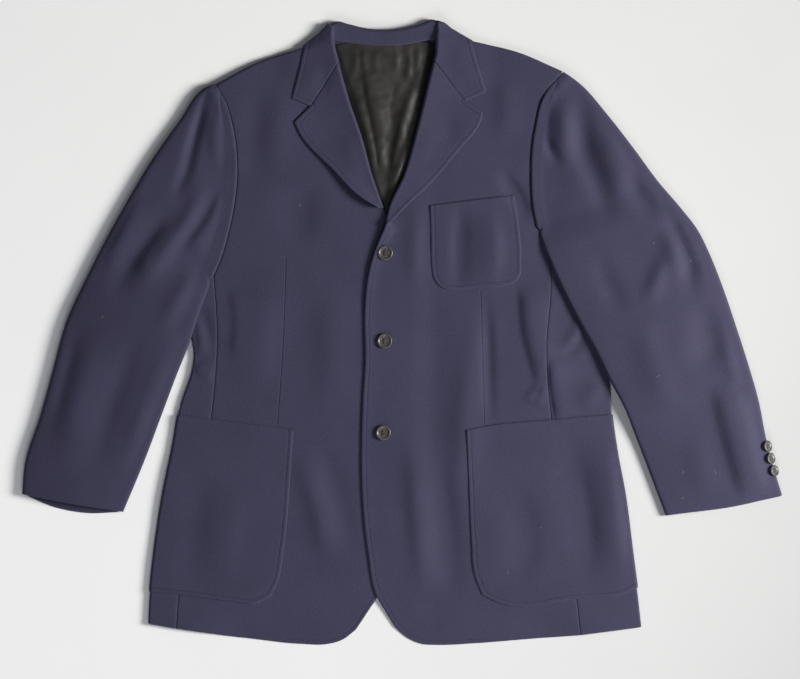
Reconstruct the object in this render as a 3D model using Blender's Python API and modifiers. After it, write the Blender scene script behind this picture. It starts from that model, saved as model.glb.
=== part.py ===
"""A man's single-breasted blazer, closed on three buttons and laid flat on its back.

Left and right are the wearer's, so the wearer's right side is at -X. +Y points to the
collar and +Z up from the ground, with the origin on the ground under the middle.
The tables are in millimetres, and a height is that of the middle of the cloth.
"""

import math

import bpy
import numpy as np
from mathutils import Vector
from mathutils.bvhtree import BVHTree

MM = 0.001

# Cloth and the room between its layers
WALL = 1.5
POCKET_WALL = 1.2
LINING_WALL = 1.0
SEAM_GAP = 0.3
GORGE_GAP = 0.6
FOLD_LIP = 3.0
BACK_HEIGHT = WALL / 2
FRONT_HEIGHT = 5.25
LINING_OVER_BACK = 2.1
LAP_STEP = 2.1
COLLAR_UNDER = 2.2
SLEEVE_OVER_BODY = 6.9

# Rounded folds
SIDE_RADIUS = (FRONT_HEIGHT - BACK_HEIGHT) / 2
CURL_STEPS = 4
FLAT = 0.001
TRIM_SPAN = 28.0
LEAST_SQUARE = 0.3
CURVE_STEPS = 12

# Rows and columns of each panel's mesh
ARMHOLE_ROWS = 9
SIDE_ROWS = 15
UNDERARM_ROWS = 2
FRONT_COLUMNS = 11
SIDE_COLUMNS = 3
SHOULDER_COLUMNS = 6
NECK_COLUMNS = 2
SLEEVE_FOLD_ROWS = 12
SLEEVE_COLUMNS = 9
UNDER_SLEEVE_COLUMNS = 6
LAPEL_ROWS = 10
GORGE_COLUMNS = 4
NOTCH_COLUMNS = 2
FALL_ROWS = 12
FALL_COLUMNS = 5
STAND_COLUMNS = 12
STAND_ROWS = 3
LINING_ROWS = 8
LINING_COLUMNS = 9
CHEST_POCKET_ROWS = 9
POCKET_COLUMNS = 9

# Lines in plan, each from the shoulder down or from the side in. Columns: x, y.
LINES = {
    "right": {
        "shoulder": [(-243.0, 323.5), (-184.6, 353.6), (-128.7, 370.5), (-90.0, 384.5)],
        "neckline": [(-90.0, 384.5), (-62.0, 373.0), (-21.0, 369.0)],
        "armhole_top": [(-243.0, 323.5), (-228.4, 297.7)],
        "armhole": [
            (-228.4, 297.7), (-220.9, 271.7), (-215.2, 235.0), (-214.4, 205.0),
            (-217.6, 170.3), (-225.2, 131.6), (-236.9, 92.3), (-245.4, 72.8),
        ],
        "underarm": [(-245.4, 72.8), (-263.0, 66.0)],
        "side_seam": [
            (-245.4, 72.8), (-240.8, -9.1), (-242.8, -50.3), (-249.0, -112.8),
            (-263.0, -205.0), (-278.0, -285.0), (-290.9, -342.6), (-294.3, -386.0),
        ],
        "side_fold": [
            (-263.0, 66.0), (-271.0, 35.0), (-275.5, 0.0), (-271.5, -34.0), (-274.0, -50.0),
            (-288.6, -93.6), (-300.0, -155.0), (-312.1, -213.7), (-324.5, -298.9),
            (-328.5, -338.0), (-330.6, -379.5),
        ],
        "side_hem": [(-330.6, -379.5), (-294.3, -386.0)],
        "roll": [
            (-90.0, 384.5), (-82.0, 352.0), (-69.0, 304.2), (-53.2, 258.4), (-39.3, 206.7),
            (-23.2, 159.0),
        ],
        "front_edge": [
            (-20.5, 152.0), (-4.0, 125.0), (2.0, 80.0), (3.0, 0.0), (2.0, -100.0),
            (-2.0, -200.0), (-12.0, -280.0), (-32.1, -344.5), (-46.9, -368.3), (-60.3, -388.4),
        ],
        "hem": [
            (-294.3, -386.0), (-197.0, -399.6), (-125.0, -407.0), (-100.6, -407.4),
            (-78.3, -401.7), (-60.3, -388.4),
        ],
        "sleeve_outer": [
            (-243.0, 323.5), (-255.3, 319.2), (-290.9, 273.9), (-324.4, 226.5), (-363.1, 161.7),
            (-386.8, 118.7), (-412.6, 67.6), (-436.4, 15.9), (-455.8, -53.2), (-472.0, -111.3),
            (-491.0, -170.0), (-495.0, -210.5),
        ],
        "sleeve_inner": [
            (-245.4, 72.8), (-260.5, 33.8), (-278.9, -21.2), (-292.0, -53.2), (-313.6, -109.2),
            (-332.9, -160.9), (-363.1, -233.7),
        ],
        "cuff": [(-495.0, -210.5), (-451.5, -219.0), (-408.3, -226.6), (-363.1, -233.7)],
        "under_cuff": [(-495.0, -210.5), (-452.0, -228.0), (-410.5, -235.5), (-363.1, -233.7)],
        "lapel_roll": [
            (-81.9, 352.0), (-69.0, 304.2), (-53.2, 258.4), (-39.3, 206.7), (-23.2, 160.0),
        ],
        "gorge": [(-81.9, 352.0), (-118.8, 294.3)],
        "lapel_notch": [(-118.8, 294.3), (-139.8, 273.4)],
        "lapel_edge": [
            (-139.8, 273.4), (-132.7, 258.4), (-88.9, 210.7), (-55.1, 176.9), (-32.0, 162.5),
        ],
        "fall_edge": [(-126.0, 375.5), (-132.5, 345.0), (-143.0, 304.2)],
        "fall_front": [(-143.0, 304.2), (-118.8, 294.3)],
        "pocket_top": [(-291.0, -108.6), (-215.0, -119.0), (-142.1, -128.3)],
        "pocket_inner": [
            (-142.1, -128.3), (-145.3, -178.0), (-155.5, -289.9), (-162.2, -325.7),
            (-171.2, -343.6),
        ],
        "pocket_bottom": [
            (-328.2, -338.0), (-290.9, -341.4), (-228.3, -349.7), (-189.0, -352.6),
            (-171.2, -343.6),
        ],
    },
    "left": {
        "shoulder": [(210.8, 338.8), (153.4, 364.0), (88.1, 380.0), (47.0, 389.0)],
        "neckline": [(47.0, 389.0), (20.0, 375.0), (-21.0, 369.0)],
        "armhole_top": [(210.8, 338.8), (190.0, 317.0)],
        "armhole": [
            (190.0, 317.0), (181.2, 301.6), (173.2, 269.1), (168.5, 238.9), (167.3, 204.1),
            (169.7, 162.5), (174.2, 139.1),
        ],
        "underarm": [(174.2, 139.1), (222.0, 78.0)],
        "side_seam": [
            (174.2, 139.1), (192.5, 97.0), (193.5, 55.0), (187.9, -17.4), (190.5, -76.7),
            (194.6, -115.1), (203.0, -200.0), (214.0, -280.0), (227.1, -346.8), (232.4, -394.6),
        ],
        "side_fold": [
            (222.0, 78.0), (240.0, 40.0), (256.0, 0.0), (267.0, -38.0), (271.5, -68.4),
            (273.0, -102.3), (279.6, -153.4), (290.9, -215.5), (299.5, -282.4), (306.5, -335.0),
            (312.0, -384.0),
        ],
        "side_hem": [(312.0, -384.0), (232.4, -394.6)],
        "roll": [
            (47.0, 389.0), (41.6, 360.0), (32.6, 322.1), (20.5, 272.4), (0.7, 202.8),
            (-17.3, 163.0), (-20.6, 142.0),
        ],
        "front_edge": [
            (-22.2, 135.5), (-29.9, 118.3), (-38.5, 95.0), (-44.6, 67.6), (-48.4, 22.1),
            (-47.5, -33.2), (-50.7, -89.7), (-52.5, -178.1), (-49.1, -245.1), (-43.6, -289.9),
            (-32.5, -344.5), (-23.5, -360.1), (-9.1, -383.9),
        ],
        "hem": [
            (232.4, -394.6), (155.0, -401.0), (83.9, -406.5), (49.4, -407.8), (25.5, -406.5),
            (6.9, -398.6), (-9.1, -383.9),
        ],
        "sleeve_outer": [
            (210.8, 338.8), (230.0, 325.0), (269.5, 280.8), (302.0, 238.9), (334.5, 195.0),
            (362.3, 162.5), (385.6, 132.1), (399.5, 104.3), (414.4, 67.6), (436.7, 2.6),
            (451.0, -42.0), (464.1, -87.6), (474.9, -141.4), (487.8, -188.9), (495.3, -212.7),
        ],
        "sleeve_inner": [
            (174.2, 139.1), (190.6, 97.5), (209.2, 55.5), (228.7, 16.9), (251.6, -24.2),
            (271.2, -65.0), (287.3, -95.0), (308.9, -147.9), (326.2, -193.2), (343.3, -238.6),
        ],
        "cuff": [(495.3, -212.7), (431.7, -225.6), (343.3, -238.6)],
        "under_cuff": [(495.3, -212.7), (431.7, -227.5), (343.3, -238.6)],
        "lapel_roll": [
            (40.3, 354.0), (32.5, 322.1), (20.5, 272.4), (0.7, 202.8), (-17.3, 163.0),
            (-20.6, 143.0),
        ],
        "gorge": [(40.3, 354.0), (81.9, 300.3)],
        "lapel_notch": [(81.9, 300.3), (105.0, 285.4)],
        "lapel_edge": [
            (105.0, 285.4), (102.0, 274.3), (70.2, 232.7), (36.4, 192.8), (8.6, 166.9),
            (-11.0, 146.5),
        ],
        "fall_edge": [(87.5, 384.6), (97.5, 350.0), (109.1, 313.2)],
        "fall_front": [(109.1, 313.2), (81.9, 300.3)],
        "pocket_top": [(273.4, -107.5), (194.4, -114.4), (107.6, -123.1), (84.2, -127.7)],
        "pocket_inner": [
            (84.2, -127.7), (87.1, -196.2), (90.5, -271.6), (94.8, -316.9), (104.5, -342.0),
        ],
        "pocket_bottom": [
            (306.1, -332.0), (290.9, -339.6), (226.2, -347.1), (127.0, -353.5),
            (104.5, -342.0),
        ],
    },
}

# The collar's fold, up the roll and round over the shoulder.
# Columns: x, y, height of the fold's top, height of what it folds down to.
COLLAR_FOLD = {
    "right": [
        (-81.9, 352.0, 14.9, 7.5), (-84.3, 361.0, 14.9, 7.5), (-87.2, 373.0, 14.6, 7.4),
        (-89.0, 388.0, 13.8, 7.0), (-88.6, 400.0, 12.8, 5.0), (-86.0, 406.0, 12.2, 2.8),
        (-92.5, 402.5, 12.0, 1.0), (-104.0, 393.0, 11.4, 1.0), (-116.0, 383.5, 10.8, 1.0),
        (-126.0, 375.5, 10.4, 1.0),
    ],
    "left": [
        (40.3, 354.0, 14.9, 7.5), (42.6, 363.5, 14.9, 7.5), (43.4, 375.0, 14.6, 7.4),
        (43.6, 390.0, 13.8, 7.0), (43.8, 401.5, 12.8, 5.0), (42.6, 408.8, 12.2, 2.8),
        (48.5, 406.4, 12.0, 1.0), (61.0, 399.0, 11.4, 1.0), (74.5, 391.6, 10.8, 1.0),
        (87.5, 384.6, 10.4, 1.0),
    ],
}

# The lapel's roll from the neck down. Columns: distance below the neck's line, fold radius.
LAPEL_ROLL_RADIUS = [(0.0, 3.7), (100.0, 3.5), (170.0, 2.8), (205.0, 2.2)]
ROLL_TOP_Y = 352.0
ROLL_CLEARANCE = 1.4
# How far the lapel's free edge stands off the front. Columns: share of the way, height.
LAPEL_EDGE_LIFT = [(0.0, 0.3), (0.4, 1.2), (0.8, 4.5), (1.0, 3.0)]

# The sleeves' cross-sections. Columns: share of the way from the shoulder to the cuff,
# radius of the fold at the inner edge, radius at the outer edge, crown of the middle.
SLEEVE_SECTIONS = [
    (0.0, 2.6, 4.6, 0.5), (0.2, 2.6, 5.0, 3.0), (0.4, 2.6, 5.2, 4.5), (0.6, 3.4, 5.0, 4.5),
    (0.85, 3.6, 4.6, 4.0), (1.0, 3.2, 4.0, 3.5),
]
# Where the sleeve starts and stops lying over the body's side. Columns: upper y at which
# the lift begins, y where it is whole, y where it starts to fade, y where it is gone.
SLEEVE_LIFT = {
    "right": (125.0, 82.0, -35.0, -115.0),
    "left": (195.0, 148.0, -80.0, -160.0),
}
SLEEVE_LIFT_MARGIN = 18.0
SLEEVE_LIFT_RAMP = 42.0
SLEEVE_SEAM_STEP = 1.0
ARMPIT_CLEARANCE = 0.7
UNDER_SLEEVE_CLEARANCE = 0.9

# The front and back at the shoulder's tip are fuller. Columns: x, y.
SHOULDER_TIPS = [(-243.0, 323.5), (210.8, 338.8)]
SHOULDER_FULLNESS = 5.0
SHOULDER_SPREAD = 85.0

# Soft folds. Columns: x and y of one end, x and y of the other, height, width.
BODY_FOLDS = [
    (163.8, 160.0, 132.6, 197.6, -2.4, 15.0),
    (150.0, 57.0, 174.0, -69.0, 2.6, 20.0),
    (196.0, -30.0, 212.0, -88.0, 2.0, 16.0),
    (-132.6, 175.0, -136.0, 118.0, -2.0, 24.0),
    (-175.0, 60.0, -196.0, -80.0, 2.4, 26.0),
    (-100.0, 60.0, -96.0, -120.0, 2.0, 28.0),
    (-132.0, -140.0, -96.0, -300.0, 2.6, 24.0),
    (95.0, 20.0, 70.0, -230.0, 2.2, 28.0),
    (230.0, -215.0, 246.0, -330.0, 1.8, 26.0),
    (-215.0, -200.0, -236.0, -330.0, 1.8, 26.0),
]
SLEEVE_FOLDS = {
    "right": [
        (-258.0, 300.0, -282.0, 215.0, -3.0, 14.0),
        (-282.0, 215.0, -294.0, 160.0, -2.4, 14.0),
        (-307.0, 147.0, -362.0, 65.0, -2.4, 16.0),
        (-300.0, -10.0, -385.0, -195.0, 2.4, 15.0),
        (-380.0, 30.0, -440.0, -170.0, 2.2, 20.0),
        (-330.0, 80.0, -352.0, 20.0, 2.2, 16.0),
    ],
    "left": [
        (233.0, 300.0, 237.0, 227.0, -3.0, 14.0),
        (237.0, 227.0, 269.0, 146.0, -2.6, 15.0),
        (351.0, 139.0, 375.0, 92.0, 2.6, 14.0),
        (375.0, 92.0, 376.0, 40.0, 2.2, 15.0),
        (300.0, 60.0, 352.0, -110.0, 2.2, 20.0),
        (433.0, -110.0, 436.0, -205.0, -2.2, 17.0),
    ],
}
# Loose folds of the satin that shows in the neck, in the same columns.
LINING_FOLDS = [
    (-60.0, 362.0, -28.0, 205.0, 2.2, 7.0),
    (20.0, 364.0, -8.0, 230.0, 3.0, 9.0),
    (-6.0, 300.0, -19.0, 200.0, 2.0, 6.0),
]

# The body's back, which ends higher in the middle than the fronts do
NECK_X = -21.0
NECK_TO_COLLAR_RAMP = (305.0, 35.0)
COLLAR_HALF_WIDTH = 148.0
COLLAR_SIDE_RAMP = 36.0
BACK_CENTRE = [(-21.0, 369.0), (-14.0, 100.0), (-9.0, -150.0), (-9.0, -325.0)]
BACK_HEM = {
    "right": [(-330.6, -379.5), (-230.0, -364.0), (-120.0, -341.0), (-9.0, -325.0)],
    "left": [(312.0, -384.0), (215.0, -366.0), (105.0, -342.0), (-9.0, -325.0)],
}
HEM_X = -9.0
HEM_HALF_WIDTH = 320.0
HEM_RISE = 56.0
HEM_POWER = 1.2
DROOP_RAMP = (-35.0, 60.0)
DROOP_SIDES = (270.0, 80.0)

# Where the upper front steps over the lower one's hidden edge
LAP_X = (46.0, 36.0)
LAP_TOP = (215.0, 50.0)
LAP_BOTTOM = (-402.0, 50.0)

STAND_SEAM = [(-87.0, 381.0), (-51.0, 375.0), (-21.0, 373.8), (8.0, 375.5), (40.8, 383.5)]
STAND_TOP = [
    (-85.0, 405.8), (-70.0, 401.0), (-45.0, 395.5), (-21.3, 394.2), (0.0, 395.8),
    (25.0, 402.0), (41.8, 408.6),
]
STAND_SEAM_HEIGHT = 6.65
STAND_TOP_HEIGHT = 8.5
STAND_END_RISE = 3.6
STAND_CLEARANCE = 0.9
FALL_BACK_HEM = [(-122.0, 352.0), (-70.0, 346.0), (-21.0, 344.0), (30.0, 347.0), (82.0, 357.0)]
FALL_BACK_DEPTH = 11.8

LINING_TUCK = 14.0
LINING_TOP = [(-102.0, 372.0), (-51.0, 378.0), (-21.0, 376.8), (8.0, 378.5), (58.0, 374.0)]
LINING_BOTTOM = [(-38.0, 130.0), (-4.0, 130.0)]
LINING_SIDES = {
    "right": [(-102.0, 372.0), (-84.0, 304.0), (-54.0, 206.0), (-38.0, 130.0)],
    "left": [(58.0, 374.0), (35.0, 272.0), (14.0, 203.0), (-4.0, 130.0)],
}

CHEST_POCKET = {
    "top": [(36.7, 164.5), (92.0, 171.5), (146.0, 177.7)],
    "bottom": [(45.5, 62.5), (61.5, 55.0), (100.0, 58.5), (137.8, 62.4), (151.0, 70.5)],
    "left": [(36.7, 164.5), (38.2, 120.0), (39.0, 84.9), (45.5, 62.5)],
    "right": [(146.0, 177.7), (151.1, 143.0), (155.0, 92.0), (151.0, 70.5)],
}

# Buttons. Profile columns: radius, height, each as a share of the button's radius.
BUTTON_PROFILE = [
    (0.0, 0.2), (0.62, 0.2), (0.74, 0.31), (0.9, 0.32), (1.0, 0.22), (1.0, 0.1), (0.86, 0.0),
    (0.0, 0.0),
]
BUTTON_STEPS = 18
FRONT_BUTTON_RADIUS = 10.0
FRONT_BUTTONS = [(-21.8, 103.0), (-22.6, -11.7), (-24.3, -131.0)]
CUFF_BUTTON_RADIUS = 7.5
CUFF_BUTTON_Y = [-149.5, -165.4, -181.3]
CUFF_BUTTON_TILT = math.radians(40)
CUFF_BUTTON_CLEARANCE = 0.5
BUTTON_CLEARANCE = 0.5

# Colour, roughness and metallic value of each material
NAVY_WOOL = ("navy_wool", (0.058, 0.052, 0.098), 0.85, 0.0)
SATIN = ("satin", (0.047, 0.045, 0.041), 0.32, 0.0)
HORN = ("dark_horn", (0.028, 0.028, 0.034), 0.3, 0.0)


def unit(vectors):
    return vectors / np.linalg.norm(vectors, axis=-1, keepdims=True)


def ease(share):
    """0 to 1, starting and stopping gently."""
    share = np.clip(share, 0, 1)
    return share * share * (3 - 2 * share)


def lengths(line):
    """The distance along the line at each of its points."""
    return np.concatenate([[0.0], np.cumsum(np.linalg.norm(np.diff(line, axis=0), axis=1))])


def at_lengths(line, run, at):
    return np.column_stack([np.interp(at, run, line[:, k]) for k in range(line.shape[1])])


def straight(points, count):
    """Stations at even distances along straight runs."""
    line = np.array(points, float)
    run = lengths(line)
    return at_lengths(line, run, np.linspace(0, run[-1], count + 1))


def curve(points):
    """A smooth line through the points, as many short runs."""
    points = np.array(points, float)
    if len(points) < 3:
        return points
    spans = np.linalg.norm(np.diff(points, axis=0), axis=1)
    slopes = np.diff(points, axis=0) / spans[:, None]
    before, after = spans[:-1, None], spans[1:, None]
    middle = (slopes[:-1] * after + slopes[1:] * before) / (before + after)
    tangents = np.vstack([slopes[:1], middle, slopes[-1:]])
    line = []
    for k, span in enumerate(spans):
        for t in np.linspace(0, 1, CURVE_STEPS, endpoint=False):
            line.append(
                points[k] * (2 * t**3 - 3 * t**2 + 1)
                + points[k + 1] * (3 * t**2 - 2 * t**3)
                + tangents[k] * span * (t**3 - 2 * t**2 + t)
                + tangents[k + 1] * span * (t**3 - t**2)
            )
    line.append(points[-1])
    return np.array(line)


def smooth(points, count):
    """Stations at even distances along the smooth curve through the points."""
    return straight(curve(points), count)


def join(*lines):
    """Lines that follow on from each other, as one."""
    return np.vstack([lines[0]] + [line[1:] for line in lines[1:]])


def patch(top, bottom, outer, inner):
    """Points in plan that fill four lines: rows go down, and columns from outer to inner."""
    down = np.linspace(0, 1, len(outer))[:, None, None]
    across = np.linspace(0, 1, len(top))[None, :, None]
    corners = (
        (1 - down) * (1 - across) * top[0]
        + (1 - down) * across * top[-1]
        + down * (1 - across) * bottom[0]
        + down * across * bottom[-1]
    )
    rows = (1 - down) * top[None] + down * bottom[None]
    columns = (1 - across) * outer[:, None] + across * inner[:, None]
    return rows + columns - corners


def facing(grid, side):
    """The grid turned so that the named side is its first column."""
    if side == "inner":
        return grid[:, ::-1]
    if side == "top":
        return grid.swapaxes(0, 1)
    return grid


def trim(grid, side, amounts):
    """Draws one side of a plan grid in by the amounts, square to that side."""
    turned = facing(grid, side).copy()
    edge = turned[:, 0].copy()
    into = unit(turned[:, 1] - edge)
    along = unit(np.gradient(edge, axis=0))
    square = np.abs(along[:, 0] * into[:, 1] - along[:, 1] * into[:, 0])
    cuts = np.broadcast_to(amounts, len(edge)) / np.maximum(square, LEAST_SQUARE)
    for row, cut in zip(turned, cuts):
        run = lengths(row)
        span = min(TRIM_SPAN, run[-1])
        row[:] = at_lengths(row.copy(), run, run + cut * np.clip(1 - run / span, 0, 1))
    return facing(turned, side)


def curl(grid, side, radii, angles=math.pi, lip=FOLD_LIP, seam=None):
    """Adds the cloth that turns down round a fold along one side, and the lip under it.

    Half a turn of the given radius is the full fold. Where the angle is flat, the same
    length of cloth runs on to the seam.
    """
    turned = facing(grid, side)
    edge = turned[:, 0]
    along = unit(np.gradient(edge[:, :2], axis=0))
    out = np.column_stack([along[:, 1], -along[:, 0]])
    inward = np.sum(out * (turned[:, 1, :2] - edge[:, :2]), axis=1)
    out *= -np.sign(inward)[:, None]
    angles = np.broadcast_to(angles, len(edge))
    radii = np.broadcast_to(radii, len(edge))
    bend = math.pi * radii / angles
    if seam is not None:
        to_seam = (seam - edge[:, :2]) / (math.pi * radii + lip)[:, None]
        out = np.where((angles <= FLAT)[:, None], to_seam, out)
    strips = []
    for step in range(1, CURL_STEPS + 1):
        heading = angles * step / CURL_STEPS
        reach = bend * np.sin(heading)
        drop = bend * (1 - np.cos(heading))
        strips.append(np.column_stack([edge[:, :2] + out * reach[:, None], edge[:, 2] - drop]))
    if lip:
        reach += lip * np.cos(angles)
        drop += lip * np.sin(angles)
        strips.append(np.column_stack([edge[:, :2] + out * reach[:, None], edge[:, 2] - drop]))
    strip = np.stack(strips[::-1], axis=1)
    return facing(np.concatenate([strip, turned], axis=1), side)


def column(table, share, number):
    """One column of a table, read at a share of the way down it."""
    rows = np.array(table)
    return np.interp(share, rows[:, 0], rows[:, number])


def folds_at(x, y, table):
    """How far the folds raise or lower the cloth at points in plan."""
    total = np.zeros_like(x)
    for x0, y0, x1, y1, height, width in table:
        run_x, run_y = x1 - x0, y1 - y0
        share = ((x - x0) * run_x + (y - y0) * run_y) / (run_x**2 + run_y**2)
        share = np.clip(share, 0, 1)
        away = (x - x0 - share * run_x) ** 2 + (y - y0 - share * run_y) ** 2
        total = total + height * np.exp(-away / width**2)
    return total


def collar_rise(x, y):
    """What lies over the fall behind the neck is raised by it."""
    start, ramp = NECK_TO_COLLAR_RAMP
    across = ease((COLLAR_HALF_WIDTH - np.abs(x - NECK_X)) / COLLAR_SIDE_RAMP)
    return COLLAR_UNDER * ease((y - start) / ramp) * across


def back_height(x, y):
    return BACK_HEIGHT + collar_rise(x, y)


def front_droop(x, y):
    """The fronts sink to the ground past the back's hem."""
    aside = np.abs(x - HEM_X)
    hem_y = -325.0 - HEM_RISE * (aside / HEM_HALF_WIDTH) ** HEM_POWER
    start, ramp = DROOP_RAMP
    sides, side_ramp = DROOP_SIDES
    past = 1 - ease((y - hem_y - start) / ramp)
    return (FRONT_HEIGHT - BACK_HEIGHT) * past * ease((sides - aside) / side_ramp)


def front_height(x, y):
    """The fronts and side panels where they lie on the back."""
    fuller = sum(
        np.exp(-((x - tip_x) ** 2 + (y - tip_y) ** 2) / SHOULDER_SPREAD**2)
        for tip_x, tip_y in SHOULDER_TIPS
    )
    raised = SHOULDER_FULLNESS * fuller + folds_at(x, y, BODY_FOLDS)
    return FRONT_HEIGHT + collar_rise(x, y) + raised - front_droop(x, y)


def upper_front_height(x, y):
    """The wearer's left front, stepped over the edge of the right one."""
    (end, ramp), (top, top_ramp), (bottom, bottom_ramp) = LAP_X, LAP_TOP, LAP_BOTTOM
    inside = ease((top - y) / top_ramp) * ease((y - bottom) / bottom_ramp)
    return front_height(x, y) + LAP_STEP * ease((end - x) / ramp) * inside


def raised(grid, height):
    return np.dstack([grid, height(grid[..., 0], grid[..., 1])])


def finish(name, colour, roughness, metallic):
    material = bpy.data.materials.get(name)
    if material:
        return material
    material = bpy.data.materials.new(name)
    material.use_nodes = True
    shader = material.node_tree.nodes["Principled BSDF"]
    shader.inputs["Base Color"].default_value = (*colour, 1.0)
    shader.inputs["Roughness"].default_value = roughness
    shader.inputs["Metallic"].default_value = metallic
    return material


def add_piece(name, mesh, material):
    mesh.materials.append(finish(*material))
    piece = bpy.data.objects.new(name, mesh)
    collection.objects.link(piece)
    return piece


def cloth(name, grid, material=NAVY_WOOL, wall=WALL):
    """A piece of cloth: the grid is its middle, and Solidify gives it its wall."""
    rows, columns = grid.shape[:2]
    faces = [
        (r * columns + c, (r + 1) * columns + c, (r + 1) * columns + c + 1, r * columns + c + 1)
        for r in range(rows - 1)
        for c in range(columns - 1)
    ]
    mesh = bpy.data.meshes.new(name)
    mesh.from_pydata((grid.reshape(-1, 3) * MM).tolist(), [], faces)
    mesh.shade_smooth()
    piece = add_piece(name, mesh, material)
    solidify = piece.modifiers.new("Wall", "SOLIDIFY")
    solidify.thickness = wall * MM
    solidify.offset = 0
    return piece


def top_of(pieces, grid, reach):
    """The highest point of the pieces within reach of each point in plan."""
    bpy.context.view_layer.update()
    graph = bpy.context.evaluated_depsgraph_get()
    trees = [BVHTree.FromObject(piece, graph) for piece in pieces]
    around = [(0.0, 0.0)]
    for ring in (0.5 * reach, reach):
        turns = np.linspace(0, 2 * math.pi, 8, endpoint=False)
        around += [(ring * math.cos(turn), ring * math.sin(turn)) for turn in turns]
    down = Vector((0, 0, -1))
    heights = np.zeros(grid.shape[:2])
    for at in np.ndindex(heights.shape):
        for aside_x, aside_y in around:
            start = Vector((grid[at][0] + aside_x, grid[at][1] + aside_y, 200.0)) * MM
            for tree in trees:
                hit = tree.ray_cast(start, down)[0]
                if hit:
                    heights[at] = max(heights[at], hit.z / MM)
    return heights


def body_armhole(lines):
    """The armhole seam, whose first run is straight on every piece that meets it."""
    return join(straight(lines["armhole_top"], 1), smooth(lines["armhole"], ARMHOLE_ROWS - 1))


def roll_radii(y):
    return column(LAPEL_ROLL_RADIUS, ROLL_TOP_Y - y, 1)


def build_front(side, height):
    lines = LINES[side]
    outer = join(body_armhole(lines), smooth(lines["side_seam"], SIDE_ROWS))
    roll = smooth(lines["roll"], ARMHOLE_ROWS)
    inner = np.vstack([roll, smooth(lines["front_edge"], SIDE_ROWS - 1)])
    top = smooth(lines["shoulder"], FRONT_COLUMNS)
    bottom = smooth(lines["hem"], FRONT_COLUMNS)
    grid = patch(top, bottom, outer, inner)
    under_roll = roll_radii(roll[:, 1]) + WALL / 2 + FOLD_LIP + ROLL_CLEARANCE
    inner_trim = np.concatenate([under_roll, np.zeros(SIDE_ROWS)])
    grid = trim(grid, "outer", SEAM_GAP / 2)
    grid = trim(grid, "inner", inner_trim)
    radii = (height(*top.T) - back_height(*top.T)) / 2
    grid = raised(trim(grid, "top", radii + WALL / 2), height)
    radii = (grid[0, :, 2] - back_height(grid[0, :, 0], grid[0, :, 1])) / 2
    return cloth(f"front_{side}", curl(grid, "top", radii))


def build_side_panel(side):
    lines = LINES[side]
    outer = smooth(lines["side_fold"], SIDE_ROWS)
    inner = smooth(lines["side_seam"], SIDE_ROWS)
    top = straight(lines["underarm"][::-1], SIDE_COLUMNS)
    bottom = straight(lines["side_hem"], SIDE_COLUMNS)
    grid = trim(patch(top, bottom, outer, inner), "inner", SEAM_GAP / 2)
    grid = raised(trim(grid, "outer", SIDE_RADIUS + WALL / 2), front_height)
    return cloth(f"side_panel_{side}", curl(grid, "outer", SIDE_RADIUS))


def build_back(side):
    lines = LINES[side]
    underarm = straight(lines["underarm"], UNDERARM_ROWS)
    outer = join(body_armhole(lines), underarm, smooth(lines["side_fold"], SIDE_ROWS))
    inner = smooth(BACK_CENTRE, len(outer) - 1)
    shoulder = smooth(lines["shoulder"], SHOULDER_COLUMNS)
    top = join(shoulder, smooth(lines["neckline"], NECK_COLUMNS))
    bottom = smooth(BACK_HEM[side], SHOULDER_COLUMNS + NECK_COLUMNS)
    grid = trim(patch(top, bottom, outer, inner), "inner", SEAM_GAP / 2)
    past_fold = WALL / 2 + FOLD_LIP + SEAM_GAP
    seam_rows = ARMHOLE_ROWS + UNDERARM_ROWS
    outer_trim = np.full(len(outer), SIDE_RADIUS + past_fold)
    outer_trim[:seam_rows] = SEAM_GAP / 2
    grid = trim(grid, "outer", outer_trim)
    radii = (front_height(*shoulder.T) - back_height(*shoulder.T)) / 2
    top_trim = np.concatenate([radii + past_fold, np.zeros(NECK_COLUMNS)])
    return cloth(f"back_{side}", raised(trim(grid, "top", top_trim), back_height))


def sleeve_lift(side, x, y):
    """How far the sleeve is raised where it lies over the body's side."""
    lines = LINES[side]
    edge = join(straight(lines["underarm"], UNDERARM_ROWS), smooth(lines["side_fold"], SIDE_ROWS))
    away = np.full(x.shape, np.inf)
    for (x0, y0), (x1, y1) in zip(edge, edge[1:]):
        run_x, run_y = x1 - x0, y1 - y0
        share = ((x - x0) * run_x + (y - y0) * run_y) / (run_x**2 + run_y**2)
        share = np.clip(share, 0, 1)
        away = np.minimum(away, np.hypot(x - x0 - share * run_x, y - y0 - share * run_y))
    edge_x = np.interp(-y, -edge[:, 1], edge[:, 0])
    away = np.where(np.abs(x) > np.abs(edge_x), away, -away)
    begin, whole, fade, gone = SLEEVE_LIFT[side]
    near = ease((SLEEVE_LIFT_MARGIN + SLEEVE_LIFT_RAMP - away) / SLEEVE_LIFT_RAMP)
    along = ease((begin - y) / (begin - whole)) * ease((y - gone) / (fade - gone))
    return SLEEVE_OVER_BODY * near * along


def sleeve_plan(side, columns, cuff):
    """The sleeve's outline filled in plan, its rows from the armhole to the cuff."""
    lines = LINES[side]
    seam = smooth(lines["armhole"], ARMHOLE_ROWS - 1)
    inner = join(seam, smooth(lines["sleeve_inner"], SLEEVE_FOLD_ROWS))
    outer = smooth(lines["sleeve_outer"], len(inner) - 1)
    top = straight(lines["armhole_top"], columns)
    grid = patch(top, smooth(lines[cuff], columns), outer, inner)
    return trim(grid, "top", SEAM_GAP / 2)


def sleeve_radii(rows):
    share = np.linspace(0, 1, rows)
    return column(SLEEVE_SECTIONS, share, 1), column(SLEEVE_SECTIONS, share, 2)


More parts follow.
